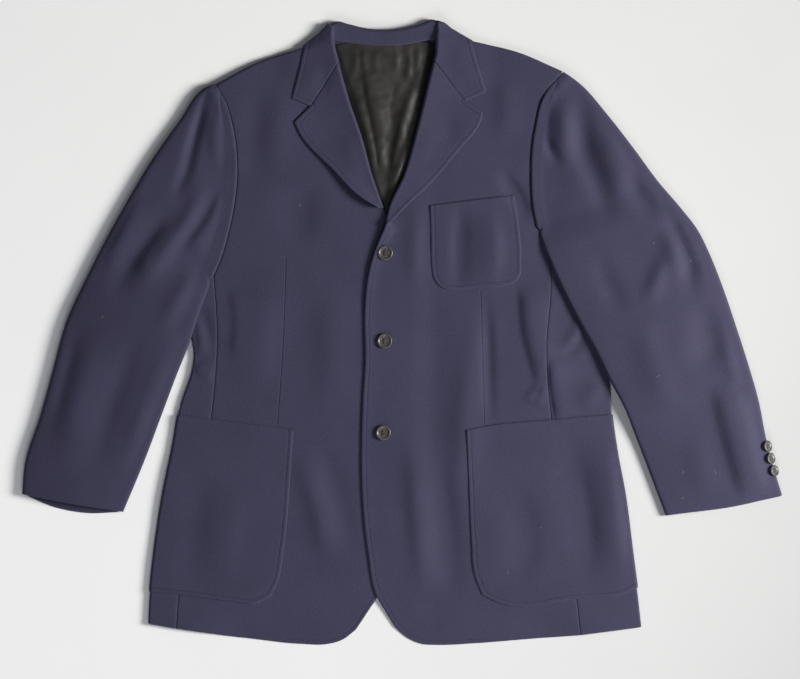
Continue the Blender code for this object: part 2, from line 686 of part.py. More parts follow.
def build_top_sleeve(side):
    grid = sleeve_plan(side, SLEEVE_COLUMNS, "cuff")
    rows = len(grid)
    inner_radii, outer_radii = sleeve_radii(rows)
    at_seam = np.arange(rows) < ARMHOLE_ROWS
    flat_strip = math.pi * inner_radii + FOLD_LIP + SEAM_GAP / 2
    inner_trim = np.where(at_seam, flat_strip, inner_radii + WALL / 2)
    seam = trim(grid, "inner", SEAM_GAP / 2)[:, -1]
    grid = trim(grid, "outer", outer_radii + WALL / 2)
    grid = trim(grid, "inner", inner_trim)
    x, y = grid[..., 0], grid[..., 1]
    lift = sleeve_lift(side, x, y)
    fold_height = BACK_HEIGHT + lift[:, -1] + 2 * inner_radii
    front = upper_front_height if side == "left" else front_height
    seam_height = front(x[:, -1], y[:, -1]) + SLEEVE_SEAM_STEP
    to_fold = ease((np.arange(rows) - ARMHOLE_ROWS / 2) / (ARMHOLE_ROWS / 2 - 1))
    seam_height += (fold_height - seam_height) * to_fold
    inner_height = np.where(at_seam, seam_height, fold_height)
    outer_height = BACK_HEIGHT + 2 * outer_radii
    across = np.linspace(0, 1, SLEEVE_COLUMNS + 1)[None]
    crown = column(SLEEVE_SECTIONS, np.linspace(0, 1, rows), 3)[:, None]
    z = outer_height[:, None] * (1 - ease(across)) + inner_height[:, None] * ease(across)
    z = z + crown * np.sin(math.pi * across)
    edges_held = ease(np.minimum(across, 1 - across) * 5)
    z = z + folds_at(x, y, SLEEVE_FOLDS[side]) * edges_held
    grid = curl(np.dstack([grid, z]), "outer", outer_radii)
    angles = np.where(at_seam, FLAT, math.pi)
    return cloth(f"top_sleeve_{side}", curl(grid, "inner", inner_radii, angles, seam=seam))


def build_under_sleeve(side):
    plan = sleeve_plan(side, UNDER_SLEEVE_COLUMNS, "under_cuff")
    grid = trim(plan, "top", UNDER_SLEEVE_CLEARANCE)
    rows = len(grid)
    inner_radii, outer_radii = sleeve_radii(rows)
    past_fold = WALL / 2 + FOLD_LIP + SEAM_GAP
    at_seam = np.arange(rows) < ARMHOLE_ROWS
    grid = trim(grid, "outer", outer_radii + past_fold)
    past_armpit = inner_radii + past_fold + ARMPIT_CLEARANCE
    grid = trim(grid, "inner", np.where(at_seam, SEAM_GAP / 2, past_armpit))
    height = BACK_HEIGHT + sleeve_lift(side, grid[..., 0], grid[..., 1])
    return cloth(f"under_sleeve_{side}", np.dstack([grid, height]))


def build_pocket(side, under):
    """A patch pocket that runs round the body's side with the side panel."""
    lines = LINES[side]
    fold = smooth(lines["side_fold"], SIDE_ROWS)
    top, bottom = np.array(lines["pocket_top"]), np.array(lines["pocket_bottom"])
    for line in (top, bottom):
        line[0, 0] = np.interp(-line[0, 1], -fold[:, 1], fold[:, 0])
    fold = fold[(fold[:, 1] < top[0, 1]) & (fold[:, 1] > bottom[0, 1])]
    outer = np.vstack([top[0], fold, bottom[0]])
    grid = patch(
        smooth(top, POCKET_COLUMNS),
        smooth(bottom, POCKET_COLUMNS),
        outer,
        smooth(lines["pocket_inner"], len(outer) - 1),
    )
    grid = trim(grid, "outer", SIDE_RADIUS + WALL / 2)
    over = SEAM_GAP + POCKET_WALL / 2
    height = top_of(under, grid, 8.0) + over
    height[:, 0] = FRONT_HEIGHT + WALL / 2 + over
    grid = curl(
        np.dstack([grid, height]), "outer", (SIDE_RADIUS + WALL / 2 + over) / 2, math.pi / 2, 0
    )
    return cloth(f"patch_pocket_{side}", grid, wall=POCKET_WALL)


def build_chest_pocket(under):
    grid = patch(
        smooth(CHEST_POCKET["top"], POCKET_COLUMNS),
        smooth(CHEST_POCKET["bottom"], POCKET_COLUMNS),
        smooth(CHEST_POCKET["left"], CHEST_POCKET_ROWS),
        smooth(CHEST_POCKET["right"], CHEST_POCKET_ROWS),
    )
    height = top_of([under], grid, 8.0) + SEAM_GAP + POCKET_WALL / 2
    return cloth("chest_pocket", np.dstack([grid, height]), wall=POCKET_WALL)


def rolled_heights(grid, rest, fold_height):
    """Rises from where the cloth rests to the height of the fold along its outer side."""
    across = np.linspace(0, 1, grid.shape[1])[None]
    return rest + (fold_height - rest[:, 0])[:, None] * (1 - across) ** 2


def build_lapel(side, front, height):
    """The lapel: its first column is the roll, and its last the free edge."""
    lines = LINES[side]
    roll = smooth(lines["lapel_roll"], LAPEL_ROWS)
    edge = smooth(lines["lapel_edge"], LAPEL_ROWS)
    notch = straight(lines["lapel_notch"], NOTCH_COLUMNS)
    top = join(straight(lines["gorge"], GORGE_COLUMNS), notch)
    bottom = straight([roll[-1], edge[-1]], len(top) - 1)
    share = np.linspace(0, 1, LAPEL_ROWS + 1)
    radii = roll_radii(roll[:, 1])
    grid = trim(patch(top, bottom, roll, edge), "outer", radii + WALL / 2)
    grid = trim(grid, "top", GORGE_GAP / 2)
    rest = top_of([front], grid, 6.0) + SEAM_GAP + WALL / 2
    fold_height = height(grid[:, 0, 0], grid[:, 0, 1]) + 2 * radii
    across = np.linspace(0, 1, len(top))[None]
    lift = column(LAPEL_EDGE_LIFT, share, 1)[:, None] * across**2
    z = rolled_heights(grid, rest, fold_height) + lift
    return cloth(f"lapel_{side}", curl(np.dstack([grid, z]), "outer", radii))


def build_collar_fall(side, under):
    """The collar's fall: its first column is the fold, and its last the front end."""
    lines = LINES[side]
    fold = smooth(COLLAR_FOLD[side], FALL_ROWS)[::-1]
    gorge = straight(lines["gorge"], FALL_COLUMNS)
    top = smooth(lines["fall_edge"], FALL_COLUMNS)
    front_end = smooth(lines["fall_front"], FALL_ROWS)
    grid = patch(top, gorge, fold[:, :2], front_end)
    radii = (fold[:, 2] - fold[:, 3]) / 2
    grid = trim(grid, "outer", radii + WALL / 2)
    gorge_side = trim(grid[::-1], "top", GORGE_GAP / 2)[::-1]
    rest = top_of(under, gorge_side, 6.0) + SEAM_GAP + WALL / 2
    z = rolled_heights(gorge_side, rest, fold[:, 2])
    lip = FOLD_LIP / 3
    return cloth(f"collar_fall_{side}", curl(np.dstack([gorge_side, z]), "outer", radii, lip=lip))


def build_stand():
    """The band inside the back neck, folded over along its top."""
    top = smooth(STAND_TOP, STAND_COLUMNS)
    bottom = smooth(STAND_SEAM, STAND_COLUMNS)
    ends = straight([top[0], bottom[0]], STAND_ROWS), straight([top[-1], bottom[-1]], STAND_ROWS)
    grid = patch(top, bottom, *ends)
    across = np.linspace(-1, 1, STAND_COLUMNS + 1)
    top_height = STAND_TOP_HEIGHT + STAND_END_RISE * across**4
    radii = (top_height - BACK_HEIGHT) / 2
    grid = trim(grid, "top", radii + WALL / 2)
    grid = trim(trim(grid, "outer", STAND_CLEARANCE), "inner", STAND_CLEARANCE)
    down = np.linspace(0, 1, STAND_ROWS + 1)[:, None]
    seam_height = STAND_SEAM_HEIGHT + STAND_END_RISE * across**4 / 2
    z = top_height[None] * (1 - down) + seam_height[None] * down
    return cloth("collar_stand", curl(np.dstack([grid, z]), "top", radii))


def build_fall_back():
    """The fall behind the neck, flat between the ground and the back."""
    right = smooth(COLLAR_FOLD["right"], FALL_ROWS)[:, :2]
    left = smooth(COLLAR_FOLD["left"], FALL_ROWS)[:, :2]
    top = smooth([right[-1], right[-4], *STAND_TOP[1:-1], left[-4], left[-1]], STAND_COLUMNS)
    bottom = smooth(FALL_BACK_HEM, STAND_COLUMNS)
    ends = straight([top[0], bottom[0]], 2), straight([top[-1], bottom[-1]], 2)
    grid = trim(patch(top, bottom, *ends), "top", FALL_BACK_DEPTH)
    return cloth("collar_fall_back", raised(grid, lambda x, y: np.full(x.shape, BACK_HEIGHT)))


def lining_height(x, y):
    return back_height(x, y) + LINING_OVER_BACK + folds_at(x, y, LINING_FOLDS)


def build_lining():
    grid = patch(
        smooth(LINING_TOP, LINING_COLUMNS),
        straight(LINING_BOTTOM, LINING_COLUMNS),
        smooth(LINING_SIDES["right"], LINING_ROWS),
        smooth(LINING_SIDES["left"], LINING_ROWS),
    )
    return cloth("back_lining", raised(grid, lining_height), SATIN, LINING_WALL)


def button(name, radius, place, tilt=(0.0, 0.0, 0.0)):
    """A turned button with a raised rim."""
    points = [(share * radius * MM, 0.0, height * radius * MM) for share, height in BUTTON_PROFILE]
    edges = [(k, k + 1) for k in range(len(points) - 1)]
    mesh = bpy.data.meshes.new(name)
    mesh.from_pydata(points, edges, [])
    piece = add_piece(name, mesh, HORN)
    screw = piece.modifiers.new("Turn", "SCREW")
    screw.steps = BUTTON_STEPS
    screw.render_steps = BUTTON_STEPS
    screw.use_merge_vertices = True
    screw.merge_threshold = 0.00001
    screw.use_smooth_shade = True
    piece.location = Vector(place) * MM
    piece.rotation_euler = tilt
    return piece


def build_front_buttons(front):
    places = np.array([FRONT_BUTTONS])
    heights = top_of([front], places, FRONT_BUTTON_RADIUS)[0] + BUTTON_CLEARANCE
    for number, ((x, y), z) in enumerate(zip(FRONT_BUTTONS, heights), start=1):
        button(f"front_button_{number}", FRONT_BUTTON_RADIUS, (x, y, z))


def build_cuff_buttons():
    """Three buttons down the left sleeve's outer fold, each tilted over it."""
    edge = curve(LINES["left"]["sleeve_outer"])[::-1]
    rows = ARMHOLE_ROWS + SLEEVE_FOLD_ROWS
    run = lengths(edge[::-1])[::-1]
    radii = sleeve_radii(rows)[1]
    for number, y in enumerate(CUFF_BUTTON_Y, start=1):
        edge_x = np.interp(y, edge[:, 1], edge[:, 0])
        share = np.interp(y, edge[:, 1], run) / run[0]
        radius = np.interp(share, np.linspace(0, 1, rows), radii)
        slope = np.interp(y + 10, edge[:, 1], edge[:, 0]) - np.interp(y - 10, edge[:, 1], edge[:, 0])
        turn = -math.atan2(slope, 20.0)
        off = radius + WALL / 2 + CUFF_BUTTON_CLEARANCE
        centre_x = edge_x - radius - WALL / 2
        aside = off * math.sin(CUFF_BUTTON_TILT)
        place = (
            centre_x + aside * math.cos(turn),
            y + aside * math.sin(turn),
            BACK_HEIGHT + radius + off * math.cos(CUFF_BUTTON_TILT),
        )
        button(f"cuff_button_{number}", CUFF_BUTTON_RADIUS, place, (0.0, CUFF_BUTTON_TILT, turn))


for old in list(bpy.data.objects):
    bpy.data.objects.remove(old)
collection = bpy.data.collections.new("Blazer")
bpy.context.scene.collection.children.link(collection)

build_fall_back()
for wearer_side in ("right", "left"):
    build_back(wearer_side)
build_lining()
side_panels = {wearer_side: build_side_panel(wearer_side) for wearer_side in ("right", "left")}
front_heights = {"right": front_height, "left": upper_front_height}
fronts = {
    wearer_side: build_front(wearer_side, height)
    for wearer_side, height in front_heights.items()
}
for wearer_side, height in front_heights.items():
    build_pocket(wearer_side, [fronts[wearer_side], side_panels[wearer_side]])
    build_lapel(wearer_side, fronts[wearer_side], height)
    build_collar_fall(wearer_side, [fronts[wearer_side]])
    build_under_sleeve(wearer_side)
    build_top_sleeve(wearer_side)
build_chest_pocket(fronts["left"])
build_stand()
build_front_buttons(fronts["left"])
build_cuff_buttons()
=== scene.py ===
"""A man's navy blazer, closed on three buttons and laid flat on its back: the looks.

Left and right are the wearer's, so the wearer's right side is at -X. +Y points to the
collar and +Z up from the ground. Tables are in millimetres, and meshes in metres.
"""

import math

import bmesh
import bpy
import numpy as np
from mathutils import Matrix, Vector
from mathutils.bvhtree import BVHTree


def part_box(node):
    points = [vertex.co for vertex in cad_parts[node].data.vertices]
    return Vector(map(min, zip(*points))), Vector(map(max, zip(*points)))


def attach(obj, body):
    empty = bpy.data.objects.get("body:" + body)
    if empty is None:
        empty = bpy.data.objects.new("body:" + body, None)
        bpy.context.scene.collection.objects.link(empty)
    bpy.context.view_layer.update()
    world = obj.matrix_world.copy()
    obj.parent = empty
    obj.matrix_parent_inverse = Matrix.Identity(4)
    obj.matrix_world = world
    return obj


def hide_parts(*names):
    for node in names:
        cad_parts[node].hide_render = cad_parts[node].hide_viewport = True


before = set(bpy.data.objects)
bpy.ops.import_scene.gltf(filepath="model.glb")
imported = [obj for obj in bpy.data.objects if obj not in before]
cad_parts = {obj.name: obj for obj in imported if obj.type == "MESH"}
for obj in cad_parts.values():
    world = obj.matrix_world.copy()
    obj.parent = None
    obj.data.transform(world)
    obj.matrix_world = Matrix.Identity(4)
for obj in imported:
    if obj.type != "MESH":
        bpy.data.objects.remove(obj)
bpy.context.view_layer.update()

MM = 0.001


# The ground, the light and the camera
# A pale, faintly mottled ground with painted shade that deepens towards the lamp, so that
# it looks evenly lit. A soft lamp stands low at the right, so that folds throw short shadows
# to the left, and a weak one past the hem opens those shadows.
GROUND_PALE = (0.98, 0.98, 0.97, 1.0)
GROUND_PAINTED_SHADE = (0.38, 0.383, 0.385, 1.0)
# How deep the ground's painted shade is. Columns: its rise for a metre of x, for a metre
# of y, and its share at the middle.
GROUND_SHADE_TURN = (0.83, -0.12, 0.49)
GROUND_MOTTLE = 0.08
GROUND_GRAIN = 0.00004
GROUND_ROUGHNESS = 0.9
GROUND_SIDE = 9.0
GROUND_HEIGHT = -0.3
# Columns: name, place in metres, width of the lamp, power in watts, colour
LAMPS = [
    ("key", (2.15, -0.04, 1.28), 0.95, 113.0, (1.0, 0.985, 0.96)),
    ("fill", (0.1, -2.1, 1.7), 1.6, 25.0, (0.93, 0.95, 1.0)),
]
SKY = (0.90, 0.93, 1.0, 1.0)
SKY_STRENGTH = 0.16
CAMERA_PLACE = (-0.0026, -0.00975, 3.01)
CAMERA_LENS = 103.8


class Number:
    """A socket that holds one number, so that shader maths reads as sums."""

    def __init__(self, finish, socket):
        self.finish, self.socket = finish, socket

    def then(self, operation, *others):
        values = dict(enumerate((self, *others)))
        node = self.finish.add("ShaderNodeMath", {"operation": operation}, values)
        return Number(self.finish, node.outputs[0])

    def __add__(self, other):
        return self.then("ADD", other)

    def __sub__(self, other):
        return self.then("SUBTRACT", other)

    def __rsub__(self, other):
        return self * -1 + other

    def __mul__(self, other):
        return self.then("MULTIPLY", other)

    def __truediv__(self, other):
        return self.then("DIVIDE", other)

    __radd__ = __add__
    __rmul__ = __mul__

    def bell(self, centre, width):
        """1 at the centre, and near 0 past twice the width on either side of it."""
        off = (self - centre) / width
        return (off * off * -1).then("EXPONENT")


class Wiring:
    """A node tree as it is put together."""

    def __init__(self, tree):
        self.tree = tree

    def put(self, socket, value):
        if isinstance(value, Number):
            value = value.socket
        if isinstance(value, bpy.types.NodeSocket):
            self.tree.links.new(value, socket)
        else:
            socket.default_value = value

    def add(self, kind, settings, inputs):
        node = self.tree.nodes.new(kind)
        for name, value in settings.items():
            setattr(node, name, value)
        for key, value in inputs.items():
            self.put(node.inputs[key], value)
        return node


class Finish(Wiring):
    """A material as it is put together."""

    def __init__(self, name):
        self.material = bpy.data.materials.new(name)
        self.material.use_nodes = True
        super().__init__(self.material.node_tree)
        self.shader = self.tree.nodes["Principled BSDF"]

    def noise(self, where, scale, detail=3.0, roughness=0.55):
        inputs = {"Vector": where, "Scale": scale, "Detail": detail, "Roughness": roughness}
        return Number(self, self.add("ShaderNodeTexNoise", {}, inputs).outputs[0])

    def attribute(self, name):
        node = self.add("ShaderNodeAttribute", {"attribute_name": name}, {})
        return Number(self, node.outputs["Fac"])

    def mix(self, share, first, second, how="MIX"):
        """One colour over another."""
        settings = {"data_type": "RGBA", "blend_type": how}
        return self.add("ShaderNodeMix", settings, {0: share, 6: first, 7: second}).outputs[2]

    def bump(self, height):
        """The normal of a surface raised by that many metres."""
        return self.add("ShaderNodeBump", {}, {"Height": height, "Distance": 1.0}).outputs[0]

    def shade(self, **values):
        """Sets the shader's own sockets: Base_Color stands for Base Color."""
        for name, value in values.items():
            self.put(self.shader.inputs[name.replace("_", " ")], value)
        return self.material


def pale_ground():
    ground = Finish("pale_ground")
    where = ground.add("ShaderNodeTexCoord", {}, {}).outputs["Object"]
    apart = ground.add("ShaderNodeSeparateXYZ", {}, {0: where})
    # Painted shade: the ground darkens towards the lamp to even out its light
    along, up, start = GROUND_SHADE_TURN
    share = Number(ground, apart.outputs[0]) * along + Number(ground, apart.outputs[1]) * up
    mottle = ground.noise(where, 2.5, 5.0)
    grain = ground.noise(where, 700.0, 2.0)
    share = share + start + (mottle - 0.5) * GROUND_MOTTLE
    share = share.then("MAXIMUM", 0.0).then("MINIMUM", 1.0)
    return ground.shade(
        Base_Color=ground.mix(share, GROUND_PALE, GROUND_PAINTED_SHADE), Roughness=GROUND_ROUGHNESS,
        Normal=ground.bump(grain * GROUND_GRAIN),
    )


def add_object(name, data):
    """A new object at the origin, linked to the scene."""
    thing = bpy.data.objects.new(name, data)
    bpy.context.scene.collection.objects.link(thing)
    return thing


def add_lamp(name, place, width, power, colour):
    light = bpy.data.lights.new(name, "AREA")
    light.shape = "DISK"
    light.size = width
    light.energy = power
    light.color = colour
    lamp = add_object(name, light)
    lamp.location = place
    lamp.rotation_euler = (-Vector(place)).to_track_quat("-Z", "Y").to_euler()


half_ground = GROUND_SIDE / 2
ground_mesh = bpy.data.meshes.new("ground")
ground_mesh.from_pydata(
    [(x, y, GROUND_HEIGHT * MM) for x, y in ((-1, -1), (1, -1), (1, 1), (-1, 1))], [],
    [(0, 1, 2, 3)],
)
ground_mesh.transform(Matrix.Diagonal((half_ground, half_ground, 1, 1)))
ground_mesh.materials.append(pale_ground())
floor = add_object("ground", ground_mesh)

for lamp_values in LAMPS:
    add_lamp(*lamp_values)
world = bpy.data.worlds.new("sky")
world.use_nodes = True
world.node_tree.nodes["Background"].inputs["Color"].default_value = SKY
world.node_tree.nodes["Background"].inputs["Strength"].default_value = SKY_STRENGTH
bpy.context.scene.world = world
bpy.context.scene.view_settings.view_transform = "Standard"

camera = add_object("camera", bpy.data.cameras.new("camera"))
camera.data.lens = CAMERA_LENS
camera.location = CAMERA_PLACE
bpy.context.scene.camera = camera


# The two halves of the back
# Navy wool, joined by a centre back seam and flat on the ground. The collar's fall lies
# under the neck and raises it. Each half ends at the fold of the side panel.
WALL = 1.5
SEAM_GAP = 0.3
FOLD_LIP = 3.0
PAST_FOLD = WALL / 2 + FOLD_LIP
BACK_HEIGHT = WALL / 2
FRONT_HEIGHT = 5.25
SIDE_RADIUS = (FRONT_HEIGHT - BACK_HEIGHT) / 2
COLLAR_UNDER = 2.2
# The mesh of every piece: the distance between its rows, how far in the close rows at its
# edges lie, and the column that tells which way is inward.
CLOTH_STEP = 3.2
EDGE_ROWS = np.array([0.0, 0.4, 0.9, 1.6, 2.6, 3.7, 4.4, 5.0, 5.6, 6.5, 8.0])
INWARD_COLUMN = 4
CURVE_STEPS = 9
CURL_STEPS = 9
# A side is drawn in over this span at most, and by this share of it.
TRIM_SPAN = 28.0
MOST_TRIM = 0.6
LEAST_SQUARE = 0.3
FAR_FROM_EDGES = 1000.0
# The middle of the wall is nowhere lower than this, so the edges stay on the ground.
LOWEST_MIDDLE = 0.45
STITCH_INSET = 5.0
# How edges are rounded and how seams and stitching sink. Columns: width, depth.
EDGE_ROUNDING = (1.6, 0.75)
SEAM_SINK = (0.9, 0.7)
STITCH_SINK = (0.9, 0.2)
# The cloth puckers beside them. Columns: distance over which it calms, height.
SEAM_PUCKERS = (8.0, 0.28)
STITCH_PUCKERS = (9.0, 0.16)
PUCKER_SIZE = 8.0
PUCKER_SEED = 5
# Swells and creases: how many widths they reach, and the share of the line to fade over
SWELL_REACH = 3
SWELL_FADE = 0.42
CREASE_REACH = 6
CREASE_FADE = 0.25
CREASE_SOFTNESS = 0.01
RUMPLE_CELLS = 256
RUMPLE_HEIGHT = 1.6
WOOL_DEEP = (0.0212, 0.0194, 0.0415, 1.0)
WOOL_PALE = (0.0492, 0.0458, 0.0880, 1.0)
# Painted shade for the grooves of seams, darts and stitching
WOOL_GROOVE_SHADE = (0.018, 0.016, 0.030, 1.0)
WOOL_SHEEN = (0.62, 0.6, 0.85, 1.0)
THREAD_PITCH = 0.9
# How much the weave, the fibres and slubs, and the clouds change the wool's tone
WEAVE_TONE = 0.10
FIBRE_TONE = 0.7
CLOUD_TONE = 0.35
# Relief of the weave, the fibres and slubs, the stitching and the seams, in metres
WEAVE_RELIEF = 0.00003
FIBRE_RELIEF = 0.00022
STITCH_RELIEF = 0.00025
SEAM_RELIEF = 0.0004
# Lines in the wool's tone, as painted shade in the grooves of stitching, seams and darts,
# and at the edges as wear and a painted highlight. Columns: width, strength.
STITCH_LINE = (0.55, 0.35)
SEAM_LINE = (0.9, 0.55)
# A pale line at the edges: partly wear, partly a painted highlight on the rolled edge
EDGE_WEAR_AND_HIGHLIGHT = (0.8, 0.35)
DART_WIDTH = 0.8
DART_FADE = 0.03
SHOULDERS = {
    "right": [(-243.0, 323.5), (-184.6, 353.6), (-128.7, 370.5), (-90.0, 384.5)],
    "left": [(210.8, 338.8), (153.4, 364.0), (88.1, 380.0), (47.0, 389.0)],
}
NECKLINES = {
    "right": [(-90.0, 384.5), (-62.0, 373.0), (-21.0, 369.0)],
    "left": [(47.0, 389.0), (20.0, 375.0), (-21.0, 369.0)],
}
ARMHOLE_TOPS = {
    "right": [(-243.0, 323.5), (-228.4, 297.7)],
    "left": [(210.8, 338.8), (190.0, 317.0)],
}
ARMHOLES = {
    "right": [
        (-228.4, 297.7), (-220.9, 271.7), (-215.2, 235.0), (-214.4, 205.0), (-217.6, 170.3),
        (-225.2, 131.6), (-236.9, 92.3), (-245.4, 72.8),
    ],
    "left": [
        (190.0, 317.0), (181.2, 301.6), (173.2, 269.1), (168.5, 238.9), (167.3, 204.1),
        (169.7, 162.5), (174.2, 139.1),
    ],
}
UNDERARMS = {
    "right": [(-245.4, 72.8), (-263.0, 66.0)],
    "left": [(174.2, 139.1), (222.0, 78.0)],
}
SIDE_FOLDS = {
    "right": [
        (-263.0, 66.0), (-271.0, 35.0), (-275.5, 0.0), (-271.5, -34.0), (-274.0, -50.0),
        (-288.6, -93.6), (-300.0, -155.0), (-312.1, -213.7), (-324.5, -298.9),
        (-328.5, -338.0), (-330.6, -379.5),
    ],
    "left": [
        (222.0, 78.0), (240.0, 40.0), (256.0, 0.0), (267.0, -38.0), (271.5, -68.4),
        (273.0, -102.3), (279.6, -153.4), (290.9, -215.5), (299.5, -282.4), (306.5, -335.0),
        (312.0, -384.0),
    ],
}
BACK_CENTRE = [(-21.0, 369.0), (-14.0, 100.0), (-9.0, -150.0), (-9.0, -325.0)]
BACK_HEMS = {
    "right": [(-330.6, -379.5), (-230.0, -364.0), (-120.0, -341.0), (-9.0, -325.0)],
    "left": [(312.0, -384.0), (215.0, -366.0), (105.0, -342.0), (-9.0, -325.0)],
}
# The shoulders' tips, where the fronts are fuller. Columns: x, y.
SHOULDER_TIPS = [(-243.0, 323.5), (210.8, 338.8)]
SHOULDER_FULLNESS = 5.0
SHOULDER_SPREAD = 85.0
NECK_X = -21.0
# Where the fall behind the neck begins to raise what lies on it. Columns: y, ramp.
NECK_TO_COLLAR_RAMP = (305.0, 35.0)
COLLAR_HALF_WIDTH = 148.0
COLLAR_SIDE_RAMP = 36.0
# Creases pressed into the back by lying on it. Columns: height, width on the line's left
# and right, the line.
BACK_SWELLS = [
    (1.1, 9.0, 16.0, [(-150.0, 300.0), (-120.0, 180.0), (-128.0, 60.0)]),
    (0.9, 14.0, 8.0, [(120.0, 310.0), (96.0, 200.0), (104.0, 90.0)]),
    (1.2, 8.0, 18.0, [(-230.0, -40.0), (-150.0, -90.0), (-60.0, -100.0)]),
    (1.0, 16.0, 8.0, [(30.0, -70.0), (130.0, -60.0), (220.0, -20.0)]),
    (0.9, 9.0, 20.0, [(-200.0, -180.0), (-190.0, -260.0), (-215.0, -350.0)]),
    (1.0, 20.0, 9.0, [(150.0, -160.0), (175.0, -250.0), (170.0, -340.0)]),
]


def ease(share):
    """0 to 1, starting and stopping gently."""
    share = np.clip(share, 0, 1)
    return share * share * (3 - 2 * share)


def unit(vectors):
    return vectors / np.linalg.norm(vectors, axis=-1, keepdims=True)


def lengths(line):
    """The distance along the line at each of its points."""
    return np.concatenate([[0.0], np.cumsum(np.linalg.norm(np.diff(line, axis=0), axis=1))])


def at_lengths(line, run, at):
    return np.column_stack([np.interp(at, run, line[:, k]) for k in range(line.shape[1])])


def curve(points):
    """A smooth line through the points, as many short runs."""
    points = np.array(points, float)
    if len(points) < 3:
        return points
    spans = np.linalg.norm(np.diff(points, axis=0), axis=1)
    slopes = np.diff(points, axis=0) / spans[:, None]
    before, after = spans[:-1, None], spans[1:, None]
    middle = (slopes[:-1] * after + slopes[1:] * before) / (before + after)
    tangents = np.vstack([slopes[:1], middle, slopes[-1:]])
    line = []
    for k, span in enumerate(spans):
        for t in np.linspace(0, 1, CURVE_STEPS, endpoint=False):
            line.append(
                points[k] * (2 * t**3 - 3 * t**2 + 1)
                + points[k + 1] * (3 * t**2 - 2 * t**3)
                + tangents[k] * span * (t**3 - 2 * t**2 + t)
                + tangents[k + 1] * span * (t**3 - t**2)
            )
    line.append(points[-1])
    return np.array(line)


def join(*lines):
    """Smooth lines that follow on from each other, as one with corners between them."""
    lines = [curve(line) for line in lines]
    return np.vstack([lines[0]] + [line[1:] for line in lines[1:]])


def shares(lines, step):
    """Where rows lie along these lines: close at both ends, for the edges, and even between."""
    length = np.mean([lengths(line)[-1] for line in lines])
    count = max(2, round((length - 2 * EDGE_ROWS[-1]) / step))
    middle = np.linspace(EDGE_ROWS[-1], length - EDGE_ROWS[-1], count + 1)[1:-1]
    return np.concatenate([EDGE_ROWS, middle, length - EDGE_ROWS[::-1]]) / length


def stations(line, at):
    run = lengths(line)
    return at_lengths(line, run, at * run[-1])


def panel(top, bottom, outer, inner, step=CLOTH_STEP):
    """Points in plan that fill four lines: rows go down, and columns from outer to inner."""
    across = shares((top, bottom), step)
    down = shares((outer, inner), step)
    top, bottom = stations(top, across), stations(bottom, across)
    outer, inner = stations(outer, down), stations(inner, down)
    across, down = across[None, :, None], down[:, None, None]
    corners = (
        (1 - down) * (1 - across) * top[0]
        + (1 - down) * across * top[-1]
        + down * (1 - across) * bottom[0]
        + down * across * bottom[-1]
    )
    rows = (1 - down) * top[None] + down * bottom[None]
    columns = (1 - across) * outer[:, None] + across * inner[:, None]
    return rows + columns - corners


def facing(grid, side):
    """The grid turned so that the named side is its first column."""
    if side == "inner":
        return grid[:, ::-1]
    if side == "top":
        return grid.swapaxes(0, 1)
    return grid


def trim(grid, side, amounts):
    """Draws one side of a plan grid in by the amounts, square to that side."""
    turned = facing(grid, side).copy()
    edge = turned[:, 0].copy()
    into = unit(turned[:, INWARD_COLUMN] - edge)
    along = unit(np.gradient(edge, axis=0))
    square = np.abs(along[:, 0] * into[:, 1] - along[:, 1] * into[:, 0])
    cuts = np.broadcast_to(amounts, len(edge)) / np.maximum(square, LEAST_SQUARE)
    for row, cut in zip(turned, cuts):
        run = lengths(row)
        span = min(TRIM_SPAN, run[-1])
        cut = min(cut, MOST_TRIM * span)
        row[:] = at_lengths(row.copy(), run, run + cut * np.clip(1 - run / span, 0, 1))
    return facing(turned, side)


def raised(grid, height):
    """Columns x, y, height and the two of the flat pattern, which starts as the plan."""
    return np.dstack([grid, height, grid])


def fold_strips(radii, turned, lip, whole=math.pi):
    """Reach past the edge, drop below it and cloth used, down a fold and the lip under it.

    Where turned is 1 the fold is the whole turn, and where it is 0 the same cloth runs flat.
    """
    strips = []
    for step in range(1, CURL_STEPS + 1):
        heading = whole * step / CURL_STEPS
        reach = radii * (heading * (1 - turned) + math.sin(heading) * turned)
        strips.append((reach, radii * (1 - math.cos(heading)) * turned, radii * heading))
    if lip:
        reach, drop, run = strips[-1]
        strips.append((reach + lip * (1 - 2 * turned), drop, run + lip))
    return strips


def curl(grid, side, radii, turned=1.0, lip=FOLD_LIP, seam=None, whole=math.pi):
    """Adds the cloth that turns down round a fold along one side, and the lip under it.

    Where the fold is not turned, the cloth runs on to the seam.
    """
    flat = facing(grid, side)
    edge, pattern = flat[:, 0, :3], flat[:, 0, 3:]
    along = unit(np.gradient(edge[:, :2], axis=0))
    out = np.column_stack([along[:, 1], -along[:, 0]])
    inward = np.sum(out * (flat[:, INWARD_COLUMN, :2] - edge[:, :2]), axis=1)
    out *= -np.sign(inward)[:, None]
    turned = np.broadcast_to(turned, len(edge))
    radii = np.broadcast_to(radii, len(edge))
    if seam is not None:
        to_seam = (seam - edge[:, :2]) / (math.pi * radii + lip)[:, None]
        out = to_seam * (1 - turned)[:, None] + out * turned[:, None]
    columns = [
        np.column_stack([
            edge[:, :2] + out * reach[:, None], edge[:, 2] - drop, pattern + out * run[:, None]
        ])
        for reach, drop, run in fold_strips(radii, turned, lip, whole)[::-1]
    ]
    return facing(np.concatenate([np.stack(columns, axis=1), flat], axis=1), side)


